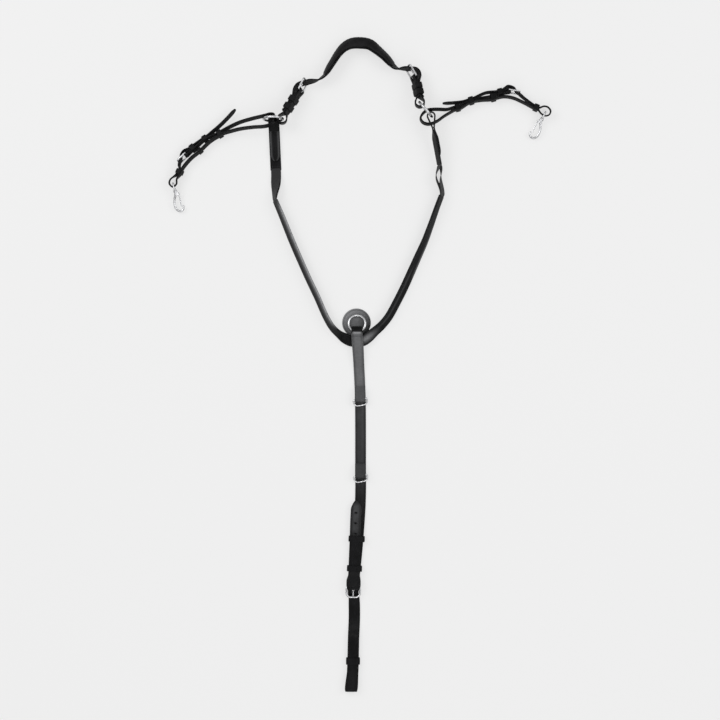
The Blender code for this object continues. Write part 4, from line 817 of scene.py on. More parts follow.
def make_girth_strap(fold, hollow):
    """From the ring's fold, over the chest band and down to the bar of the girth buckle."""
    flat = GIRTH_THICK / 2 + FLOOR_GAP
    raised = flat + KEEPER_WALL + GAP
    round_ring = hollow + GIRTH_THICK / 2
    over_band = DISC_THICK + SHOULDER_THICK + 4 * GAP + GIRTH_THICK / 2
    rows = [(fold[0], y, z) for y, z in wrap(
        (fold[1] - 0.0045, fold[2] - round_ring + 0.0004), fold[1:], round_ring,
        (BAND_Y + SHOULDER_WIDTH / 2 - 0.002, over_band), 1)]
    levels = [(BAND_Y - SHOULDER_WIDTH / 2 - 0.001, over_band), (-0.075, 0.6 * over_band + 0.4 * flat),
              (-0.095, flat + 0.001)]
    levels += [(y, flat) for y in (-0.120, UPPER_DEE_Y, -0.225, -0.300, -0.345, -0.385)]
    levels += [(y, raised) for y in (-0.425, UPPER_KEEPER_Y, -0.480, LOWER_KEEPER_Y + 0.012,
                                     LOWER_KEEPER_Y - 0.008)]
    levels = [(girth_x(y), y, z) for y, z in levels]
    place = girth_buckle_place()
    ply = (GIRTH_THICK + GAP) / 2
    turn_back = wrap((-0.011, ply), (0, 0), GIRTH_BUCKLE["bar"] + GAP + GIRTH_THICK / 2, (-0.011, -ply), -1)
    line = fine(np.vstack([rows, smooth(levels), place.line(turn_back + [(-0.020, -ply)])]))
    y = line[:, 1]
    across = np.where(y[:, None] < LOWER_KEEPER_Y, -place.across, (1.0, 0.0, 0.0))
    width = GIRTH_WIDTH + 0.0012 * bell(y + 0.050, 0.025) + 0.0050 * bell(y + 0.542, 0.011, 4)
    strap = Strap(line, across, width, GIRTH_THICK)
    fold_run = float(strap.run[np.argmax(y)])

    def dull(run, side):
        """Painted sheen: none on the ply inside the ring, a bright painted highlight on the fold's crest, a
        grey painted reflection below it that fades down the strap, and a painted streak of sheen by the right
        edge.
        """
        at = np.interp(run, strap.run, y)
        shade = np.interp(-at, [0.0175, 0.0200, 0.0225, 0.0250, 0.032, 0.130, 0.175, 0.300, 0.400],
                          [0.0, 0.15, 1.35, 0.95, 0.85, 0.85, 0.24, 0.18, 0.0])
        return shade * (run > fold_run) * (1 + 0.9 * (at < -0.165) * bell(side - 0.55, 0.16))

    def pale(run, side):
        """A painted highlight on the crest of the fold, where it bends over the ring."""
        wear_and_sheen = 1.6 * bell(np.interp(run, strap.run, y) + 0.0206, 0.0015)
        return wear_and_sheen * (run > fold_run) * (np.abs(side) < 0.8)

    made = strap.mesh("girth_strap", dull=dull, pale=pale)
    dulled(carve(made, [tongue_slot(place, GIRTH_BUCKLE, GIRTH_THICK)]), "girth_strap")
    total = strap.run[-1]
    top = float(strap.run[np.argmin(np.abs(y - (BAND_Y + 0.008)) + (line[:, 2] < over_band - 0.002))])
    below = float(np.interp(-(BAND_Y - 0.014), -y, strap.run))
    strap.sew("girth_strap", (1, top, below), (1, total - 0.053, total - 0.022), slot="grey_leather")


def make_girth_billet():
    """From the pointed tip, over the buckle's bar, under its far bar and on to the doubled girth loop."""
    place = girth_buckle_place()
    size = GIRTH_BUCKLE
    length = size["length"]
    over_bar = size["bar"] + 1.5 * GIRTH_THICK + 2 * GAP
    under_bar = -(size["bar"] + GAP + GIRTH_THICK / 2)
    flat = FLOOR_GAP + GIRTH_THICK / 2
    raised = flat + KEEPER_WALL + GAP
    upper = raised + GIRTH_THICK + GAP
    top = [(0.0002, -0.3725, upper), (-0.0004, -0.386, upper - 0.0001), (-0.0020, -0.420, upper),
           (-0.0030, -0.453, upper), (-0.0045, -0.490, upper), (-0.0052, -0.509, upper),
           (-0.0057, -0.521, upper), (-0.0062, -0.533, upper + 0.0022)]
    at_buckle = [tuple(place.at(x, y) + (drift, 0, 0)) for x, y, drift in (
        (-0.008, over_bar + 0.0009, 0.0003), (0.001, over_bar + 0.0009, 0.0003),
        (0.385 * length, 0.45 * over_bar, 0.0), (0.575 * length, -0.0010, 0.0001),
        (0.75 * length, under_bar - 0.0002, 0.0008), (length, under_bar - 0.0006, 0.0020))]
    lower = [(-0.0046, -0.592, flat + 0.0012), (-0.0044, -0.610, flat), (-0.0046, -0.625, flat),
             (-0.0053, -0.642, flat + 0.6 * GIRTH_THICK), (-0.0060, -0.657, upper - 0.0004),
             (-0.0066, -0.680, upper), (-0.0070, -0.700, upper), (-0.0076, -0.728, upper)]
    rows = fine(smooth(top + at_buckle + lower))
    turn = LOOP_CAVITY + GIRTH_THICK / 2
    fold = (LOOP_FOLD_Y, FLOOR_GAP + GIRTH_THICK + LOOP_CAVITY)
    loop_top = lower[-1][1]
    loop = wrap((loop_top, upper), fold, turn, (-0.735, raised), 1) + [(-0.700, raised), (-0.668, raised)]
    y, z = np.array(loop).T
    skew = LOOP_DRIFT + LOOP_SKEW * np.clip((z - fold[1]) / turn, -1, 1)
    x = np.interp(-y, [-spot[1] for spot in lower], [spot[0] for spot in lower])
    x = x - skew * np.clip((loop_top - y) / 0.04, 0, 1)
    line = fine(np.vstack([rows[:-1], np.column_stack([x, y, z])]))
    y = line[:, 1]
    beside = (y < LOWER_KEEPER_Y) & (y > LOWER_KEEPER_Y - 0.085)
    across = np.where(beside[:, None], -place.across, (1.0, 0.0, 0.0))
    run = lengths(line)
    past_bar = run - run[np.argmin(np.linalg.norm(line - place.at(0, over_bar), axis=1))]
    width = (GIRTH_WIDTH + 0.0072 * bell(past_bar + 0.0105, 0.0125, 4)
             + 0.0012 * eased((past_bar - 0.022) / 0.020) + 0.0028 * eased((loop_top - y) / 0.034)
             - 0.0018 * bell(y - fold[0] + turn, 0.0030))
    billet = Strap(line, across, width, GIRTH_THICK, tip_start=0.020)

    def dull(run, side):
        """Painted sheen, a grey painted reflection, from the tip to the first keeper."""
        shade = 0.34 * np.interp(run, [0.004, 0.012, 0.060, 0.078], [0.3, 1.0, 0.8, 0.0])
        return shade * (1 - 0.6 * side ** 2)

    made = billet.mesh("girth_billet", dull=dull)
    cutters = [tongue_hole(place, size, 0.0, 0.74)]
    hole = np.array((HOLE_RADIUS, GIRTH_THICK))
    for i in range(3):
        spot = Place((-0.0012 - 0.0003 * i, -0.398 - i * HOLE_PITCH, upper), (0, -1, 0), (-1, 0, 0))
        cutters.append(slot_cutter(spot, -hole, hole, HOLE_RADIUS))
    dress(carve(made, cutters), GREY_LEATHER, "black_leather", BODY, "girth_billet")
    total = billet.run[-1]
    doubled = float(np.interp(-LOOP_SEWN_Y, -y[:len(rows)], run[:len(rows)]))
    billet.sew("girth_billet", (1, doubled, doubled + LOOP_SEAM), (1, total - LOOP_SEAM, total - 0.002))


def make_girth_hardware():
    """The buckle and tongue, the keepers and the sliding keeper of the girth loop."""
    buckle("girth", girth_buckle_place(), GIRTH_BUCKLE, GIRTH_WIDTH)
    low = FLOOR_GAP + KEEPER_WALL + GAP
    high = low + 2 * (GIRTH_THICK + GAP)
    for node, x, y, lean, room, extra, body in (
            ("upper_girth_keeper", 0.0003, UPPER_KEEPER_Y, -0.04, 0.0068, 0.0, BODY),
            ("lower_girth_keeper", -0.0042, LOWER_KEEPER_Y, -0.04, 0.0044, 0.0, BODY),
            ("girth_loop_keeper", -0.0073, -0.709, 0.0, 0.0020, 0.002, "girth_loop_keeper")):
        keeper(node, Place((x, y, 0.0), (lean, -1, 0), (-1, 0, 0)), low, high, GIRTH_WIDTH + room,
               KEEPER_LENGTH + extra, body=body)


def make_dee(side, y, shade):
    """A dee and the short chape that holds its bar on the girth strap; shade is how much painted sheen, a
    grey painted reflection, the chape gets.
    """
    hollow = DEE_WIRE + GIRTH_WIDTH / 2 * math.sin(DEE_HANG) + GAP
    strap_top = FLOOR_GAP + GIRTH_THICK
    turn = hollow + DEE_CHAPE_THICK / 2
    bar = np.array((girth_x(y) - DEE_SHIFT, y, strap_top + GAP + DEE_CHAPE_THICK + hollow))
    over = DEE_CHAPE_THICK + GAP - turn
    path = wrap((-DEE_CHAPE_LENGTH, over), (0, 0), turn, (-DEE_CHAPE_LENGTH + 0.001, -turn), -1)
    line = fine(Place(bar, (0, -1, 0), (-1, 0, 0)).line(path))
    chape = Strap(line, (1, 0, 0), GIRTH_WIDTH - 0.001, DEE_CHAPE_THICK)
    node = side + "_dee_chape"
    dulled(chape.mesh(node, dull=lambda run, across: shade + 0 * run), node)
    chape.sew(node, (1, 0.002, DEE_CHAPE_LENGTH - 0.009), slot="grey_leather")
    rest = math.asin((hollow + DEE_CHAPE_THICK - DEE_WIRE) / DEE_DEPTH)
    sine, cosine = math.sin(DEE_HANG), math.cos(DEE_HANG)
    place = Place(bar, (sine, -cosine, 0), (-cosine, -sine, 0)).turned(0, -rest)
    half = GIRTH_WIDTH / 2 + BUCKLE_SIDE_ROOM + DEE_WIRE
    outline = wire_outline(DEE_DEPTH, half, 1.2 * DEE_WIRE, 0.62 * DEE_DEPTH, steps=14)
    Shell().tube(place.line(outline), place.out, DEE_WIRE, closed=True).steel(side + "_dee")


# The shoulders: routes from the chest, as x, y, roll in degrees and height of the lower edge
LEFT_SHOULDER = (
    (0.0001, -0.0389, 0, 0.0039), (-0.0110, -0.0384, 0, 0.0039), (-0.0216, -0.0337, 13, 0.0032),
    (-0.0350, -0.0252, 50, 0.0004), (-0.0504, -0.0106, 60, 0.0002), (-0.0638, 0.0116, 63, 0.0002),
    (-0.0832, 0.0553, 63, 0.0002), (-0.0992, 0.0889, 63, 0.0002), (-0.1188, 0.1328, 63, 0.0002),
    (-0.1366, 0.1742, 63, 0.0002), (-0.1558, 0.2220, 66, 0.0002), (-0.1704, 0.2565, 70, 0.0002))
RIGHT_SHOULDER = (
    (0.0010, -0.0389, 0, 0.0039), (0.0125, -0.0381, 0, 0.0039), (0.0240, -0.0310, 12, 0.0032),
    (0.0374, -0.0192, 35, 0.0006), (0.0516, -0.0067, 44, 0.0002), (0.0673, 0.0123, 47, 0.0002),
    (0.0838, 0.0420, 48, 0.0002), (0.0988, 0.0716, 48, 0.0002), (0.1138, 0.1046, 50, 0.0002),
    (0.1292, 0.1393, 54, 0.0002), (0.1433, 0.1710, 59, 0.0002), (0.1560, 0.2054, 64, 0.0002),
    (0.1700, 0.2450, 68, 0.0002), (0.1780, 0.2660, 69, 0.0002))
# Where each shoulder strap's painted sheen, a pale painted highlight, lies: middle, spread, strength, first
# and last share of the run
LEFT_PAINTED_SHEEN = ((1.0, 0.05, 0.75, 0.13, 1.02), (1.0, 0.50, 0.50, 0.13, 1.02))
RIGHT_PAINTED_SHEEN = ((-0.9, 0.30, 0.5, 0.45, 0.85), (0.45, 0.10, 0.35, 0.10, 0.60), (0.1, 0.5, 0.75, -0.05, 0.17))


def end_rows(total):
    """Two rows of stitches across a strap's last end, on both faces."""
    return [(total - distance, face) for distance in (0.0035, 0.0075) for face in (1, -1)]


def make_shoulder(side, route, inner_side, sheen_spots):
    """A shoulder strap: two plies stitched along both edges, with a painted sheen, a pale painted highlight,
    along parts of its width.

    The last argument gives where the painted highlight lies: its middle and spread as shares of the half
    width, its strength, and the shares of the run between which it shows.
    """
    rows = fine(smooth([(x, y, 0.0, roll, low) for x, y, roll, low in route]))
    roll = np.maximum(rows[:, 3], 0.0)
    rows[:, 2] = (rows[:, 4] + SHOULDER_WIDTH / 2 * np.sin(np.radians(roll))
                  + SHOULDER_THICK / 2 * np.cos(np.radians(roll)))
    line, across = rows[:, :3], rolled(rows, roll, inner_side)
    strap = Strap(line, across, SHOULDER_WIDTH, SHOULDER_THICK, crease=WIDE_SEAM_INSET, back_crease=True)
    total = strap.run[-1]

    def pale(run, place):
        shade = 0.0
        for middle, spread, strength, first, last in sheen_spots:
            shown = eased((run / total - first) / 0.12) * eased((last - run / total) / 0.12)
            shade = shade + strength * bell(place - middle, spread) * shown
        return shade

    node = side + "_shoulder_strap"
    leather(strap.mesh(node, pale=pale), node)
    seams = [(face, 0.013, total - 0.003) for face in (1, -1)]
    strap.sew(node, *seams, inset=WIDE_SEAM_INSET, rows=end_rows(total))
    return line[-1], across[-1], unit(line[-1] - line[-2])


def make_elastics(side, strap_end, strap_across, strap_along, tab_end, tab_across, tab_along, bulges, twist,
                  lean, lead, power=1.0):
    """Two ribbed plies of elastic, sewn into the ends of the shoulder strap and the tab, and bowed apart.

    The width turns from the strap's to the tab's between the two shares of the run in twist, with level ends,
    and leans over by half a sine wave. The bow is a squared sine of the share raised to a power, so that a
    power over one moves it towards the tab.
    """
    start = strap_end - SEWN_IN * strap_along
    end = tab_end + SEWN_IN * tab_along
    line = fine(smooth([start, start + lead * strap_along, (start + end) / 2, end - 0.012 * tab_along, end]))
    run = lengths(line)
    share = (run / run[-1])[:, None]
    turn = eased((share - twist[0]) / (twist[1] - twist[0]))
    across = unit((1 - turn) * strap_across + turn * tab_across)
    across = unit(across + math.sin(lean) * np.sin(math.pi * share) * np.cross(directions(line), across))
    free = eased(np.minimum(run, run[-1] - run) / SEWN_IN - 1)[:, None]
    spread = free * np.sin(math.pi * share ** power) ** 2
    clear = (ELASTIC_WIDTH / 2 * np.abs(across[:, 2]) + (ELASTIC_THICK + GAP + max(bulges) * spread[:, 0])
             * np.abs(np.cross(directions(line), across)[:, 2]))
    height = np.maximum(line[:, 2], clear + 3 * FLOOR_GAP)
    line[:, 2] = np.convolve(np.pad(height, 15, "edge"), np.ones(31) / 31, "valid")
    normal = np.cross(directions(line), across)
    thick = ELASTIC_THICK * (0.62 + 0.38 * free)
    for name, sign, bulge in (("front", 1, bulges[0]), ("back", -1, bulges[1])):
        offset = thick / 2 + GAP / 2 + GAP / 2 * free + bulge * spread
        node = "%s_elastic_%s" % (side, name)
        made = ribbed_ply(node + "_webbing", line + sign * offset * normal, across, thick[:, 0])
        dress(made, WEBBING, "elastic_web", BODY, node)


def every_other(count):
    """Every second index, and the last."""
    return np.unique(np.append(np.arange(0, count, 2), count - 1))


def ribbed_ply(name, line, across, thick, ribs=9, per_rib=4):
    """A woven elastic ply: both faces are half waves, one to each rubber rib, and the selvedges are round.

    The whole width also draws in and out by a small sine along the run, as a stretched ply's does.
    """
    keep = every_other(len(line))
    along = directions(line)
    across = square_to(along, across)
    normal = np.cross(along, across)
    run = lengths(line)[keep]
    share = np.linspace(1, -1, ribs * per_rib + 1)
    face = 0.74 + 0.26 * np.abs(np.sin((share + 1) / 2 * ribs * math.pi))
    w = np.concatenate([[1.0], 0.96 * share, [-1.0], -0.96 * share])
    n = np.concatenate([[0.0], face, [0.0], -face])
    a = (ELASTIC_WIDTH / 2 * (1 - 0.006 * (1 + np.sin(run * 2 * math.pi / 0.0024))))[:, None] * w
    b = (thick[keep] / 2 * (1 + 0.05 * np.sin(run * 2 * math.pi / 0.0012)))[:, None] * n
    grid = sections(line[keep], across[keep], normal[keep], a, b)
    attributes = dict(run=np.repeat(run[:, None], len(w), axis=1), side=a)
    return add(name, grid, skin(*a.shape), attributes, sharp=50)


def make_tab(side, place, hollow, back, lean):
    """The shoulder tab: pointed front ply, fold round the ring, back ply that runs on to the elastic.

    Beyond the ring both plies lean over together, about the line between them, by an eased angle.
    """
    front = back + TAB_THICK + GAP
    meet = 2.6 * (hollow + TAB_THICK)
    path = wrap((meet, front), (0, 0), hollow + TAB_THICK / 2, (meet, back), 1)
    path = fine([(TAB_FRONT_LENGTH, front, 0)] + [(x, y, 0) for x, y in path] + [(TAB_LENGTH, back, 0)])
    between = (front + back) / 2
    angle = lean * eased((path[:, 0] - meet) / (0.25 * TAB_LENGTH))
    out, over = np.cos(angle), np.sin(angle)
    beside = path[:, 1] - between
    line = place.line(np.column_stack([path[:, 0], between + beside * out, beside * over]))
    across = out[:, None] * place.across - over[:, None] * place.out
    tab = Strap(line, across, TAB_WIDTH, TAB_THICK, tip_start=0.014)
    total = tab.run[-1]
    sewn_length = TAB_FRONT_LENGTH - meet

    def pale(run, place):
        """A pale line painted just inside the front ply's edge, round its pointed end."""
        return 0.36 * bell(np.abs(place) - 0.68, 0.11) * (run < sewn_length)

    node = side + "_shoulder_tab"
    leather(tab.mesh(node, pale=pale), node)
    face = 1 if np.dot(tab.at(np.array((0.04,)))[2][0], place.out) > 0 else -1
    tab.sew(node, (face, 0.0035, sewn_length - 0.004), (face, total - sewn_length - 0.016, total - 0.003),
            rows=end_rows(total))
    return line[-1], across[-1]


# The withers: the crest as x, y and roll in degrees. Each side has the spot of its buckle's bar, the keepers'
# distances from the ring, the shares of the frame between which the billet's hole lies, and the billet's way
# through the frame, as distances past the bar and out from it.

CREST = (
    (-0.081, 0.5070, 74), (-0.0642, 0.5194, 72), (-0.0505, 0.5395, 68), (-0.0372, 0.5608, 61),
    (-0.0254, 0.5745, 48), (-0.011, 0.5829, 33), (0.008, 0.5848, 26), (0.027, 0.5812, 32),
    (0.0424, 0.5692, 47), (0.0572, 0.5558, 57), (0.0722, 0.5405, 60), (0.0865, 0.5305, 60))
BILLET_ROLL = 75
LEFT_WITHER = dict(
    bar=(-0.1168, 0.4840, 0.0185), flip=1, lean_side=-1, turn=math.radians(9), keepers=(0.047, 0.0285),
    hole=(0.36, 0.95), arc=((-0.011, 0.0088), (-0.003, 0.0124), (0.008, 0.0122), (0.0155, 0.0071),
                            (0.0205, 0.0004), (0.0255, -0.0045)))
RIGHT_WITHER = dict(
    bar=(0.1200, 0.5125, 0.0200), flip=-1, lean_side=1, turn=math.radians(-19), keepers=(0.0360, 0.0225),
    hole=(0.36, 0.90), arc=((-0.0055, 0.0092), (0.000, 0.0120), (0.009, 0.0122), (0.0160, 0.0074),
                            (0.0185, 0.0004), (0.0185, -0.0070), (0.0200, -0.0130)))
WITHER_HOLLOW = 0.0079
# Where the chape starts to lean, over what length, and the length of the ease from billet to crest
LEAN_START, LEAN_LENGTH, CREST_EASE = 0.003, 0.016, 0.030


def make_wither_side(side, fold, spec):
    """The chape from ring to buckle, the buckle and the two keepers.

    Returns the billet's centreline, the frame's place and the rule for the lean of the width.
    """
    length = float(np.linalg.norm(np.asarray(spec["bar"]) - fold))
    along = unit(np.asarray(spec["bar"]) - fold)
    flip = spec["flip"]
    inward = spec["lean_side"] * unit(np.cross(along, UP))
    upright = Place(fold, along, flip * UP)
    rise = flip * upright.across
    facing = float(np.dot(upright.out, inward))

    def lean(x):
        """Upright in the ring, and leaning over by an eased angle before the buckle."""
        return (WITHER_LEAN * eased((x - LEAN_START) / LEAN_LENGTH))[..., None]

    def leaning(spots):
        """The width direction at each spot, from its distance along the chape."""
        angle = lean((spots - fold) @ along)
        return np.cos(angle) * rise + np.sin(angle) * inward

    def laid(path):
        """Places x, y points: x along the chape, y out from it in its leaning frame."""
        path = np.array(path)
        angle = lean(path[:, 0])
        out = np.cos(angle) * upright.out - facing * np.sin(angle) * rise
        return fold + path[:, :1] * along + path[:, 1:2] * out

    place = Place(fold, along, flip * (math.cos(WITHER_LEAN) * rise + math.sin(WITHER_LEAN) * inward))
    ply = (CHAPE_THICK + GAP) / 2
    on_ring = WITHER_HOLLOW + CHAPE_THICK / 2
    on_bar = WITHER_BUCKLE["bar"] + GAP + CHAPE_THICK / 2
    join = 0.6 * length
    meet = on_ring + 0.0050
    line = fine(laid([(join, -ply)] + wrap((meet, -ply), (0, 0), on_ring, (meet, ply), -1)
                     + wrap((length - 0.010, ply), (length, 0), on_bar, (length - 0.010, -ply), -1)
                     + [(join + 2 * GAP, -ply)]))
    chape = Strap(line, leaning(line), WITHER_BILLET_WIDTH, CHAPE_THICK)
    hinge = place.turned(length, spec["turn"])
    node = side + "_wither_chape"
    leather(carve(chape.mesh(node), [tongue_slot(hinge, WITHER_BUCKLE, CHAPE_THICK)]), node)
    chape.sew(node, (1, 0.002, join - meet - 0.001))
    buckle(side + "_wither", hinge, WITHER_BUCKLE, WITHER_BILLET_WIDTH)

    top = ply + CHAPE_THICK / 2
    billet_out = top + 2 * GAP + WITHER_THICK / 2
    upper, lower = spec["keepers"]
    for name, spot in (("upper", upper), ("lower", lower)):
        here = Place(place.at(spot), along, flip * leaning(place.at(spot)))
        keeper("%s_wither_keeper_%s" % (side, name), here, -top, billet_out + WITHER_THICK / 2 + 2 * GAP,
               WITHER_BILLET_WIDTH)
    billet = [(lower - 0.0120, billet_out + 0.0056), (lower - 0.0078, billet_out + 0.0009)]
    billet += [(x, billet_out) for x in (lower - 0.0064, lower + 0.004, upper - 0.004, upper + 0.0065)]
    return laid(billet + [(length + x, y) for x, y in spec["arc"]]), hinge, leaning


def make_withers(left_fold, right_fold):
    """Both wither buckles, and the strap and pad that run over the withers between them."""
    left, left_hinge, left_leaning = make_wither_side("left", left_fold, LEFT_WITHER)
    right, right_hinge, right_leaning = make_wither_side("right", right_fold, RIGHT_WITHER)

    def lie(roll):
        """The centreline's height where the pad's lower corner rests just above the floor."""
        roll = math.radians(roll)
        deep = WITHER_THICK / 2 + PAD_THICK
        return 2 * FLOOR_GAP + WITHER_WIDTH / 2 * math.sin(roll) + deep * math.cos(roll)

    crest = [(x, y, lie(roll), roll) for x, y, roll in CREST]
    ends = [np.insert(rows, 3, BILLET_ROLL, axis=1) for rows in (left, right[::-1])]
    line = fine(smooth(np.vstack([ends[0], crest, ends[1]])))
    across = rolled(line, line[:, 3], 1)
    run = lengths(line)

    def run_at(point):
        return run[np.argmin(np.linalg.norm(line[:, :3] - point, axis=1))]

    # Level with each buckle out to its far bar, then turning over into the crest.
    for leaning, edge, spin in ((left_leaning, run_at(left[-1]), 1), (right_leaning, run_at(right[-1]), -1)):
        share = eased(spin * (run - edge) / CREST_EASE)[:, None]
        across = unit(share * across + (1 - share) * leaning(line[:, :3]))
    first, last = run_at(crest[0][:3]), run_at(crest[-1][:3])
    width = WITHER_BILLET_WIDTH + (WITHER_WIDTH - WITHER_BILLET_WIDTH) * eased(
        np.minimum(run - first, last - run) / CREST_EASE)
    strap = Strap(line[:, :3], across, width, WITHER_THICK, tip_start=0.012, tip_end=0.012)
    holes = [tongue_hole(hinge, WITHER_BUCKLE, *spec["hole"])
             for hinge, spec in ((left_hinge, LEFT_WITHER), (right_hinge, RIGHT_WITHER))]
    leather(carve(strap.mesh("wither_strap"), holes), "wither_strap")
    first, last = first + PAD_INSETS[0], last - PAD_INSETS[1]
    strap.sew("wither_strap", (1, first, last))

    inside = (run > first) & (run < last)
    share = np.linspace(0, 1, inside.sum())
    full = np.clip(np.minimum(share, 1 - share) / 0.12, 0, 1)
    thick = PAD_THICK * (0.35 + 0.65 * np.sin(full * math.pi / 2))
    line, across = line[inside][:, :3], across[inside]
    line = line - (WITHER_THICK / 2 + 3 * GAP + thick[:, None] / 2) * np.cross(directions(line), across)
    width = np.minimum(width[inside] - 0.002, PAD_WIDTH)
    cushion = stuffed_pad("wither_pad_cushion", line, across, width, thick)
    dress(cushion, PAD_LEATHER, "black_leather", BODY, "wither_pad")


def stuffed_pad(name, line, across, width, thick):
    """The stuffed lining: flat against the strap, a half ellipse on the other side.

    Its edges pull in at every second stitch by a cosine along the run, which dies out towards the crown, and
    both ends close with a quarter circle.
    """
    keep = every_other(len(line))
    along = directions(line)
    across = square_to(along, across)
    run = lengths(line)[keep]
    taper = dome(np.minimum(run, run[-1] - run), 0.006, 0.04)[:, None]
    pucker = (0.5 + 0.5 * np.cos(run * math.pi / STITCH_PITCH))[:, None]
    a = width[keep, None] / 2 * (0.7 + 0.3 * taper)
    b = thick[keep, None] / 2
    angle = np.linspace(0, -math.pi, 25)
    bulge = np.abs(np.sin(angle)) ** 0.8
    w_low = np.cos(angle) * a * (1 - 0.018 * pucker)
    w_high = w_low[:, -2:0:-1] * 0.93
    depth = b - 2 * b * taper * bulge * (1 - 0.10 * pucker * (1 - bulge))
    lip = b - 0.0006 * taper + 0.0003
    w = np.hstack([w_low, w_high])
    n = np.hstack([np.minimum(depth, lip), np.broadcast_to(b, w_high.shape)])
    # the section runs against the width direction here, so each row is turned round to face outward
    grid = sections(line[keep], across[keep], np.cross(along, across)[keep], w, n)[:, ::-1]
    return add(name, grid, skin(*w.shape), dict(edge=0 * w, crease=0 * w), sharp=60)


# The snap hooks. The rows of the bow give along, out and the wire's radius, in millimetres until divided.

SNAP_BOW = np.array((
    (1.4, 0, 3.2), (2.4, -0.2, 3.2), (6.0, -2.2, 2.9), (11.0, -4.9, 2.5), (17.5, -7.2, 2.3),
    (24.5, -8.4, 2.3), (31.0, -8.2, 2.3), (36.2, -5.8, 2.3), (39.4, -1.6, 2.3), (39.6, 3.0, 2.3),
    (37.2, 6.8, 2.2), (33.4, 8.6, 2.0), (29.4, 8.6, 1.8))) / 1000


def mirrored(half):
    """A turned outline that is the same at both ends: the lower half given, then its mirror image."""
    return half + [(radius, -height) for radius, height in reversed(half)]


def make_snap(side, bar, heading, eye_across, flip):
    """A swivel snap hook: the eye in the strap's end loop, the hook with its swivel head, and the gate."""
    low = SNAP_EYE_LENGTH - SNAP_WIRE
    high = low + COLLAR_LENGTH
    bore = SHANK_RADIUS + GAP
    lip = 0.0006
    place = Place(bar, heading, eye_across)
    half = SADDLE_WIDTH / 2 + SNAP_EYE_SLACK + SNAP_WIRE
    outline = wire_outline(SNAP_EYE_LENGTH, half, 0.003, 0.004, 0.0006)
    # the far bar passes through the collar, so the wire is two arms that end inside its wall
    inside = (outline[:, 0] > SNAP_EYE_LENGTH - 0.001) & (np.abs(outline[:, 2]) < bore + 0.0006)
    start = int(np.argmax(inside & ~np.roll(inside, 1)))
    arms = np.roll(place.line(outline), -start, axis=0)[int(inside.sum()):]
    half = COLLAR_LENGTH / 2
    collar = mirrored([(bore, -half), (COLLAR_RADIUS - lip, -half),
                       (COLLAR_RADIUS - 0.3 * lip, 0.3 * lip - half), (COLLAR_RADIUS, lip - half)])
    shell = Shell().tube(arms, place.out, SNAP_WIRE, 16)
    shell.lathe(place.at(low + half), place.along, collar, 36, closed=True).steel(side + "_snap_eye")

    place = Place(bar, heading, flip * UP)
    start, neck = low - GAP, high + GAP
    head = [(start - x, radius) for x, radius in (
        (0.0034, 0.0004), (0.0032, 0.0012), (0.0028, 0.0021), (0.0020, 0.0027), (0.0012, 0.0030),
        (0.0002, 0.0030), (0.0, 0.0028), (-0.0001, SHANK_RADIUS))]
    head += [(neck + x, radius) for x, radius in (
        (0.0, SHANK_RADIUS), (0.0001, 0.0030), (0.0004, 0.0032), (0.0014, 0.0032))]
    bow = fine(smooth(SNAP_BOW, 12), 0.0007)
    run = lengths(bow[:, :2])
    path = [(x, 0.0) for x, _ in head] + [(neck + x, y) for x, y, _ in bow[1:]]
    thick = bow[:, 2] * dome(run[-1] - run, 0.0018, 0.22)
    radii = np.concatenate([[radius for _, radius in head], thick[1:]])
    shell = Shell().tube(place.line(path), -place.across, radii, 22)
    knuckle = (neck + 0.0042, 0.0058)
    wall = 0.0011
    cheek = GATE_BARREL + GAP + wall
    disc = mirrored([(0.0003, -wall / 2), (0.0033, -wall / 2), (0.0036, 0.0003 - wall / 2)])
    for side_of in (wall / 2 - cheek, cheek - wall / 2):
        shell.lathe(place.at(knuckle[0] - 0.0006, knuckle[1] - 0.0022, side_of), place.across, disc, 30)
    rivet = mirrored([(0.0004, -cheek - 0.00045), (0.0009, -cheek - 0.0004), (0.0014, -cheek - 0.0002),
                      (0.0016, -cheek), (GATE_PIN, 0.0001 - cheek)])
    shell.lathe(place.at(*knuckle), place.across, rivet, 20).steel(side + "_snap_hook")

    barrel = mirrored([(GATE_PIN + GAP, -GATE_BARREL), (0.0018, -GATE_BARREL),
                       (0.0020, 0.0002 - GATE_BARREL)])
    arm = fine(smooth([(knuckle[0] + x, knuckle[1] + y, 0) for x, y in (
        (0.0015, 0.0), (0.5 * GATE_LENGTH, -0.0002), (GATE_LENGTH, -0.0009))], 12), 0.0008)
    run = lengths(arm)
    shell = Shell().lathe(place.at(*knuckle), place.across, barrel, 24, closed=True)
    shell.tube(place.line(arm), -place.across, GATE_WIRE * dome(run[-1] - run, 0.0012, 0.25), 16)
    shell.steel(side + "_snap_gate")


# The saddle straps. A route's row is x, y and height, or a keeper's name, the offset in it and the way
# through it; a keeper's own row is its middle and its heading.

PLY = SADDLE_THICK + GAP
LEVEL, SNAP_LEVEL = 0.0112, 0.0124
SADDLE_CHAPE_LENGTH = 0.022
SNAP_SEAT = 0.0078
HALF_THICK = SADDLE_THICK / 2 + SADDLE_KEEPER_ROOM
# How far the plies lie off the middle of the keepers nearest the ring and the snap
AT_RING, AT_SNAP = 0.0030, 0.0026
# How far the points through a keeper reach from its middle, and the last keeper's distance from the bar
KEEPER_REACH, BUCKLE_KEEPER = 0.0058, 0.0185
# Where the width leaves the snap's direction, and over what length it turns to the strap's own
TURN_START, TURN_LENGTH = 0.010, 0.013


def level(height, *spots):
    return [(x, y, height) for x, y in spots]


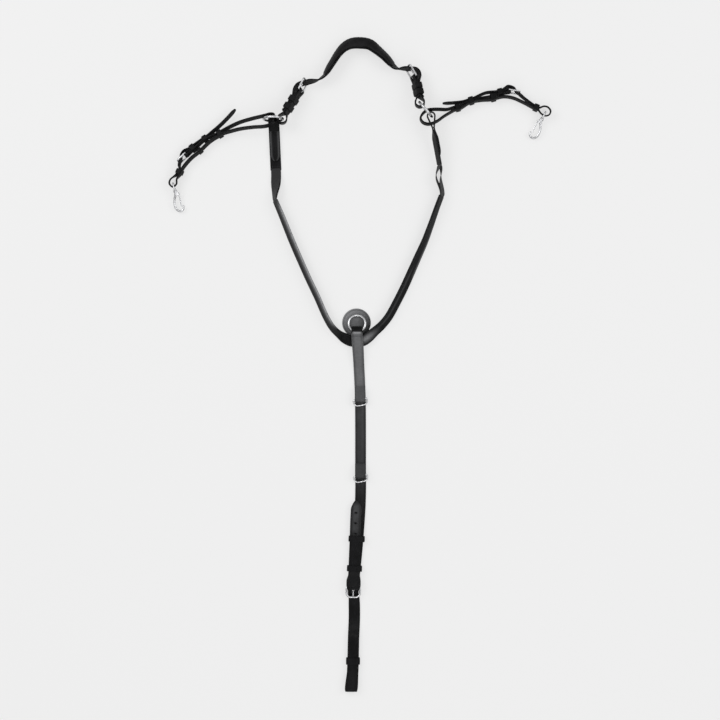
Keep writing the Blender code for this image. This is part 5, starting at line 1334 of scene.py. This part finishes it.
LEFT_SADDLE = dict(
    lean=math.radians(22), lean_to=(-0.58, 0.81, 0), across_sign=-1, bar=(-0.356, 0.3525, LEVEL),
    heading=(-0.786, -0.618, 0), frame_turn=math.radians(-7), arc=0.0022, leaving=(-0.3705, 0.3282, 0.0121),
    tipward=(-0.317, 0.3850, LEVEL, (-0.84, -0.54, 0)), ringward=(-0.286, 0.3950, LEVEL, (-0.86, -0.51, 0)),
    loose=(-0.3275, 0.3595, LEVEL, (-0.74, -0.67, 0)),
    snapward=(-0.3700, 0.3155, LEVEL + 0.0008, (-0.42, -0.91, 0)),
    route=[("tipward", -PLY / 2, -1), ("ringward", AT_RING, -1),
           (-0.265, 0.4095, 0.0125), (-0.243, 0.4190, 0.0160), (-0.215, 0.4265, 0.0210),
           (-0.190, 0.4318, 0.0245),
           *level(0.0250, (-0.179, 0.4345), (-0.1715, 0.4333), (-0.1700, 0.4285), (-0.1712, 0.4220),
                  (-0.1760, 0.4145)),
           (-0.190, 0.4095, 0.0245), (-0.215, 0.4080, 0.0210), (-0.243, 0.4050, 0.0160),
           (-0.265, 0.4000, 0.0125),
           ("ringward", -AT_RING, 1), (-0.306, 0.3795, LEVEL), ("loose", 0.0, 1),
           *level(LEVEL, (-0.3455, 0.3445), (-0.3590, 0.3295)), ("snapward", -AT_SNAP, 1),
           *level(SNAP_LEVEL, (-0.3762, 0.3000), (-0.3768, 0.2905), (-0.3840, 0.2840), (-0.3915, 0.2910),
                  (-0.3893, 0.3000)), ("snapward", AT_SNAP, -1)],
    tip=[("tipward", PLY / 2, -1),
         *level(LEVEL, (-0.301, 0.3995), (-0.288, 0.4105), (-0.271, 0.4270), (-0.253, 0.4470))],
    keepers=(("tipward", -PLY / 2, PLY / 2), ("ringward", -AT_RING, AT_RING), ("loose", 0.0, 0.0),
             ("snapward", -AT_SNAP, AT_SNAP)))
RIGHT_SADDLE = dict(
    lean=math.radians(15), lean_to=(0.0, 1.0, 0), across_sign=1, bar=(0.319, 0.485, LEVEL),
    heading=(0.966, 0.259, 0), frame_turn=math.radians(-25), arc=0.0035, leaving=(0.3473, 0.4724, LEVEL),
    tipward=(0.240, 0.4645, LEVEL, (0.953, 0.302, 0)), ringward=(0.212, 0.4500, LEVEL, (0.965, 0.262, 0)),
    loose=(0.2860, 0.4708, LEVEL, (0.970, 0.243, 0)), snapward=(0.3760, 0.4500, LEVEL, (0.92, -0.39, 0)),
    route=[("loose", 0.0040, -1), (0.262, 0.4700, LEVEL), ("tipward", 0.0, -1), ("ringward", AT_RING, -1),
           (0.190, 0.4462, 0.0130), (0.172, 0.4455, 0.0190), (0.158, 0.4445, 0.0240),
           (0.148, 0.4425, 0.0265), (0.1397, 0.4370, 0.0255), (0.1347, 0.4280, 0.0200),
           (0.1390, 0.4195, 0.0120), (0.1485, 0.4162, 0.0080), (0.1580, 0.4175, 0.0068),
           (0.1690, 0.4225, 0.0070), (0.185, 0.4335, 0.0090), ("ringward", -AT_RING, 1),
           ("tipward", -PLY, 1), (0.262, 0.4655, LEVEL), ("loose", -0.0030, 1),
           *level(LEVEL, (0.308, 0.4730), (0.327, 0.4705), (0.347, 0.4620)), ("snapward", -AT_SNAP, 1),
           *level(SNAP_LEVEL, (0.3862, 0.4378), (0.3945, 0.4330), (0.4030, 0.4350), (0.4062, 0.4430),
                  (0.4005, 0.4510), (0.3920, 0.4528)), ("snapward", AT_SNAP, -1)],
    tip=[(0.2700, 0.4808, LEVEL), ("tipward", PLY, -1),
         *level(LEVEL, (0.223, 0.4625), (0.201, 0.4600), (0.180, 0.4590))],
    keepers=(("tipward", -PLY, PLY), ("ringward", -AT_RING, AT_RING), ("loose", -0.0030, 0.0040),
             ("snapward", -AT_SNAP, AT_SNAP)))


def make_saddle_strap(side, spec, snap_bar, snap_heading):
    """One strap, sewn round its buckle, looped through the ring and the snap, and back through the buckle."""
    body = side + "_saddle_strap"
    size = SADDLE_BUCKLE
    length = size["length"]
    lean, sign = spec["lean"], spec["across_sign"]
    leaning = sign * (math.cos(lean) * UP + math.sin(lean) * unit(spec["lean_to"]))
    at_snap = sign * square_to(snap_heading, UP)

    def across_at(point):
        share = float(eased((math.dist(point[:2], snap_bar[:2]) - TURN_START) / TURN_LENGTH))
        return unit(share * leaning + (1 - share) * at_snap)

    def in_keeper(key):
        spot = spec[key]
        return Place(spot[:3], spot[3], across_at(spot))

    def laid(items):
        """Route rows: plain points, and three points through each keeper that the route names."""
        rows = []
        for item in items:
            if isinstance(item[0], str):
                key, offset, way = item
                rows += [tuple(in_keeper(key).at(way * x, offset)) for x in (-KEEPER_REACH, 0, KEEPER_REACH)]
            else:
                rows.append(item)
        return rows

    place = Place(spec["bar"], spec["heading"], leaning)
    frame_place = place.turned(0, spec["frame_turn"])
    ply = PLY / 2
    stack = ply + PLY
    on_bar = size["bar"] + GAP + SADDLE_THICK / 2
    round_bar = wrap((-0.0115, ply), (0, 0), on_bar, (-0.0115, -ply), -1)
    chape = place.line([(-SADDLE_CHAPE_LENGTH, ply)] + round_bar + [(-SADDLE_CHAPE_LENGTH, -ply)])
    over = on_bar + PLY
    arc = over + spec["arc"]
    in_frame = frame_place.line([
        (length + 0.0006, -on_bar - 0.0008), (0.66 * length, 0.0005), (0.40 * length, 0.72 * arc)])
    on_chape = place.line([
        (0.02 * length, arc), (-0.0065, 0.5 * (over + arc) - 0.0004), (-0.0130, stack + 0.0004),
        (-0.0240, stack)])
    billet = [spec["leaving"], *in_frame, *on_chape]
    whole = smooth([chape[-1]] + laid(spec["route"]) + billet + laid(spec["tip"]))
    line = fine(np.vstack([chape[:-1], whole]))
    across = np.array([across_at(point) for point in line])
    strap = Strap(line, across, SADDLE_WIDTH, SADDLE_THICK, tip_end=0.012, crease=FINE_SEAM_INSET)
    holes = [tongue_slot(place, size, SADDLE_THICK), tongue_hole(frame_place, size, 0.26, 0.80)]
    leather(carve(strap.mesh(body), holes), body, body)
    strap.sew(body, (1, 0.0015, SADDLE_CHAPE_LENGTH - 0.012), inset=FINE_SEAM_INSET, body=body)
    buckle(side + "_saddle", frame_place, size, SADDLE_WIDTH)

    loops = [(key, in_keeper(key), low - HALF_THICK, high + HALF_THICK) for key, low, high in spec["keepers"]]
    behind = Place(place.at(-BUCKLE_KEEPER), place.along, place.across)
    loops.append(("buckle", behind, -ply - SADDLE_THICK / 2, stack + HALF_THICK))
    for key, here, low, high in loops:
        keeper("%s_saddle_keeper_%s" % (side, key), here, low, high, SADDLE_WIDTH + SADDLE_KEEPER_ROOM,
               SADDLE_KEEPER_LENGTH, SADDLE_KEEPER_WALL, body)
    return at_snap


def make_breastplate():
    """Every piece, from the chest down the girth strap and then up both sides to the snap hooks."""
    fold, hollow = make_chest()
    make_girth_strap(fold, hollow)
    make_girth_billet()
    make_girth_hardware()
    # Each dee's chape gets painted sheen, more on the upper one nearer the chest
    make_dee("upper", UPPER_DEE_Y, 0.55)
    make_dee("lower", LOWER_DEE_Y, 0.25)
    left_end = make_shoulder("left", LEFT_SHOULDER, 1, LEFT_PAINTED_SHEEN)
    right_end = make_shoulder("right", RIGHT_SHOULDER, -1, RIGHT_PAINTED_SHEEN)
    reach, hollow = fold_on_ring(SHOULDER_RING, TAB_WIDTH)
    chape_reach, _ = fold_on_ring(SHOULDER_RING, WITHER_BILLET_WIDTH)

    # The left ring stands on its lower side in the tab's fold, nearly square to the floor.
    side_to_side = np.array((1.0, 0.0, 0.0))
    rise = np.array((0.0, math.sin(RING_LEAN), math.cos(RING_LEAN)))
    left_centre = np.array((-0.1735, 0.4245, FLOOR_GAP + TAB_THICK + hollow + reach * rise[2]))
    o_ring("left_shoulder_ring", left_centre, np.cross(side_to_side, rise), SHOULDER_RING)
    tab = Place(left_centre - reach * rise, (0.0437, -1.0, 0.0), (-1.0, -0.0437, 0.0))
    tab_end, tab_across = make_tab("left", tab, hollow, -hollow - TAB_THICK / 2, 0.0)
    make_elastics("left", *left_end, tab_end, -tab_across, -tab.along, (0.0012, 0.0012), (0.0, 0.95), 0.0,
                  0.0045)

    # The right ring stands on edge between the tab and the wither chape.
    down_right = unit((0.65, -0.76, 0.0))
    rise = math.cos(RING_LEAN) * UP + math.sin(RING_LEAN) * np.cross(down_right, UP)
    right_centre = np.array((0.1440, 0.4440, 0.0285))
    o_ring("right_shoulder_ring", right_centre, np.cross(down_right, rise), SHOULDER_RING)
    tab = Place(right_centre + reach * down_right, (0.1900, -0.968, -0.145), rise)
    tab_end, tab_across = make_tab("right", tab, hollow + 0.0012, -(TAB_THICK + GAP) / 2, RIGHT_TAB_LEAN)
    make_elastics("right", *right_end, tab_end, tab_across, -tab.along, (0.0012, 0.0070), (0.22, 0.95),
                  RIGHT_ELASTIC_LEAN, 0.008, 1.6)

    make_withers(left_centre + chape_reach * side_to_side, right_centre - chape_reach * down_right)

    snaps = []
    for side, spec, (x, y), heading, flip in (
            ("left", LEFT_SADDLE, (-0.3840, 0.2840), (0.252, -0.962, -0.11), 1),
            ("right", RIGHT_SADDLE, (0.3955, 0.4330), (-0.45, -0.886, -0.11), -1)):
        bar = np.array((x, y + SNAP_SEAT, SNAP_LEVEL))
        snaps.append((side, bar, unit(heading), make_saddle_strap(side, spec, bar, unit(heading)), flip))
    for snap in snaps:
        make_snap(*snap)


# Floor, light and camera

PAPER = 0.871
# The room's brightness by the sine of the height above the horizon
ROOM_LEVELS = ((0.0, 0.16), (0.30, 0.22), (0.52, 0.62), (0.76, 0.80), (0.90, 0.62), (1.0, 0.58))
LAMPS = (
    ("key_softbox", (-2.0, 1.5, 2.3), (0.0, 0.0, 0.0), 1.6, 30.0),
    ("fill_softbox", (2.3, 0.6, 2.1), (0.0, -0.1, 0.0), 1.6, 19.0),
    ("low_softbox", (0.2, -2.6, 1.9), (0.0, 0.0, 0.0), 1.6, 11.0),
    ("top_softbox", (-0.10, 0.02, 3.3), (-0.10, 0.02, 0.0), 0.6, 6.0))
FLOOR_HALF = 14.0


def ray(make, kind):
    return make.node("ShaderNodeLightPath", output="Is %s Ray" % kind)


def studio_floor():
    """Plain pale paper: mostly its own colour where the camera or a reflection sees it, and a soft shadow."""
    make = Finish(bpy.data.materials.new("studio_floor"))
    seen = 0.72 * ray(make, "Camera") + 0.25 * (ray(make, "Glossy") + ray(make, "Transmission"))
    tone = make.mix(make.noise(60.0, 2.0) * 0.02, grey(PAPER), grey(0.86))
    matt = make.node("ShaderNodeBsdfDiffuse", {"Color": tone})
    shown = make.node("ShaderNodeEmission", {"Color": grey(PAPER), "Strength": 1.0})
    return make.ended(make.node("ShaderNodeMixShader", {0: seen, 1: matt, 2: shown}))


def make_studio():
    """The floor, the room that reflections see, and the lamps."""
    corners = FLOOR_HALF * np.array(((-1, -1, 0), (1, -1, 0), (1, 1, 0), (-1, 1, 0)))
    floor = add("studio_floor", corners, [(0, 1, 2, 3)])
    floor.data.materials.append(studio_floor())

    scene.world = bpy.data.worlds.new("studio")
    make = Finish(scene.world)
    where = make.node("ShaderNodeTexCoord", output="Generated")
    height = make.node("ShaderNodeSeparateXYZ", {0: where}, output="Z")
    stops = [(at, grey(shade)) for at, shade in ROOM_LEVELS]
    shade = make.node("ShaderNodeValToRGB", {0: height}, stops=stops)
    room = make.node("ShaderNodeBackground", {"Color": shade})
    backdrop = make.node("ShaderNodeBackground", {"Color": grey(PAPER)})
    both = make.node("ShaderNodeMixShader", {0: ray(make, "Camera"), 1: room, 2: backdrop})
    make.node("ShaderNodeOutputWorld", {"Surface": both})

    for name, spot, aim, width, power in LAMPS:
        light = bpy.data.lights.new(name, "AREA")
        light.shape, light.size, light.energy = "SQUARE", width, power
        lamp = bpy.data.objects.new(name, light)
        lamp.location = spot
        lamp.rotation_mode = "QUATERNION"
        lamp.rotation_quaternion = (Vector(aim) - Vector(spot)).to_track_quat("-Z", "Y")
        scene.collection.objects.link(lamp)


def make_camera():
    """Straight above the layout; 1.512 m across the picture at the floor."""
    lens = bpy.data.cameras.new("camera")
    lens.lens, lens.sensor_width, lens.clip_end = 85.0, 36.0, 50.0
    camera = bpy.data.objects.new("camera", lens)
    camera.location = (0.00735, -0.0781, 3.57)
    scene.collection.objects.link(camera)
    scene.camera = camera


make_camera()
make_breastplate()
make_studio()
scene.view_settings.view_transform = "Standard"
bpy.context.view_layer.update()
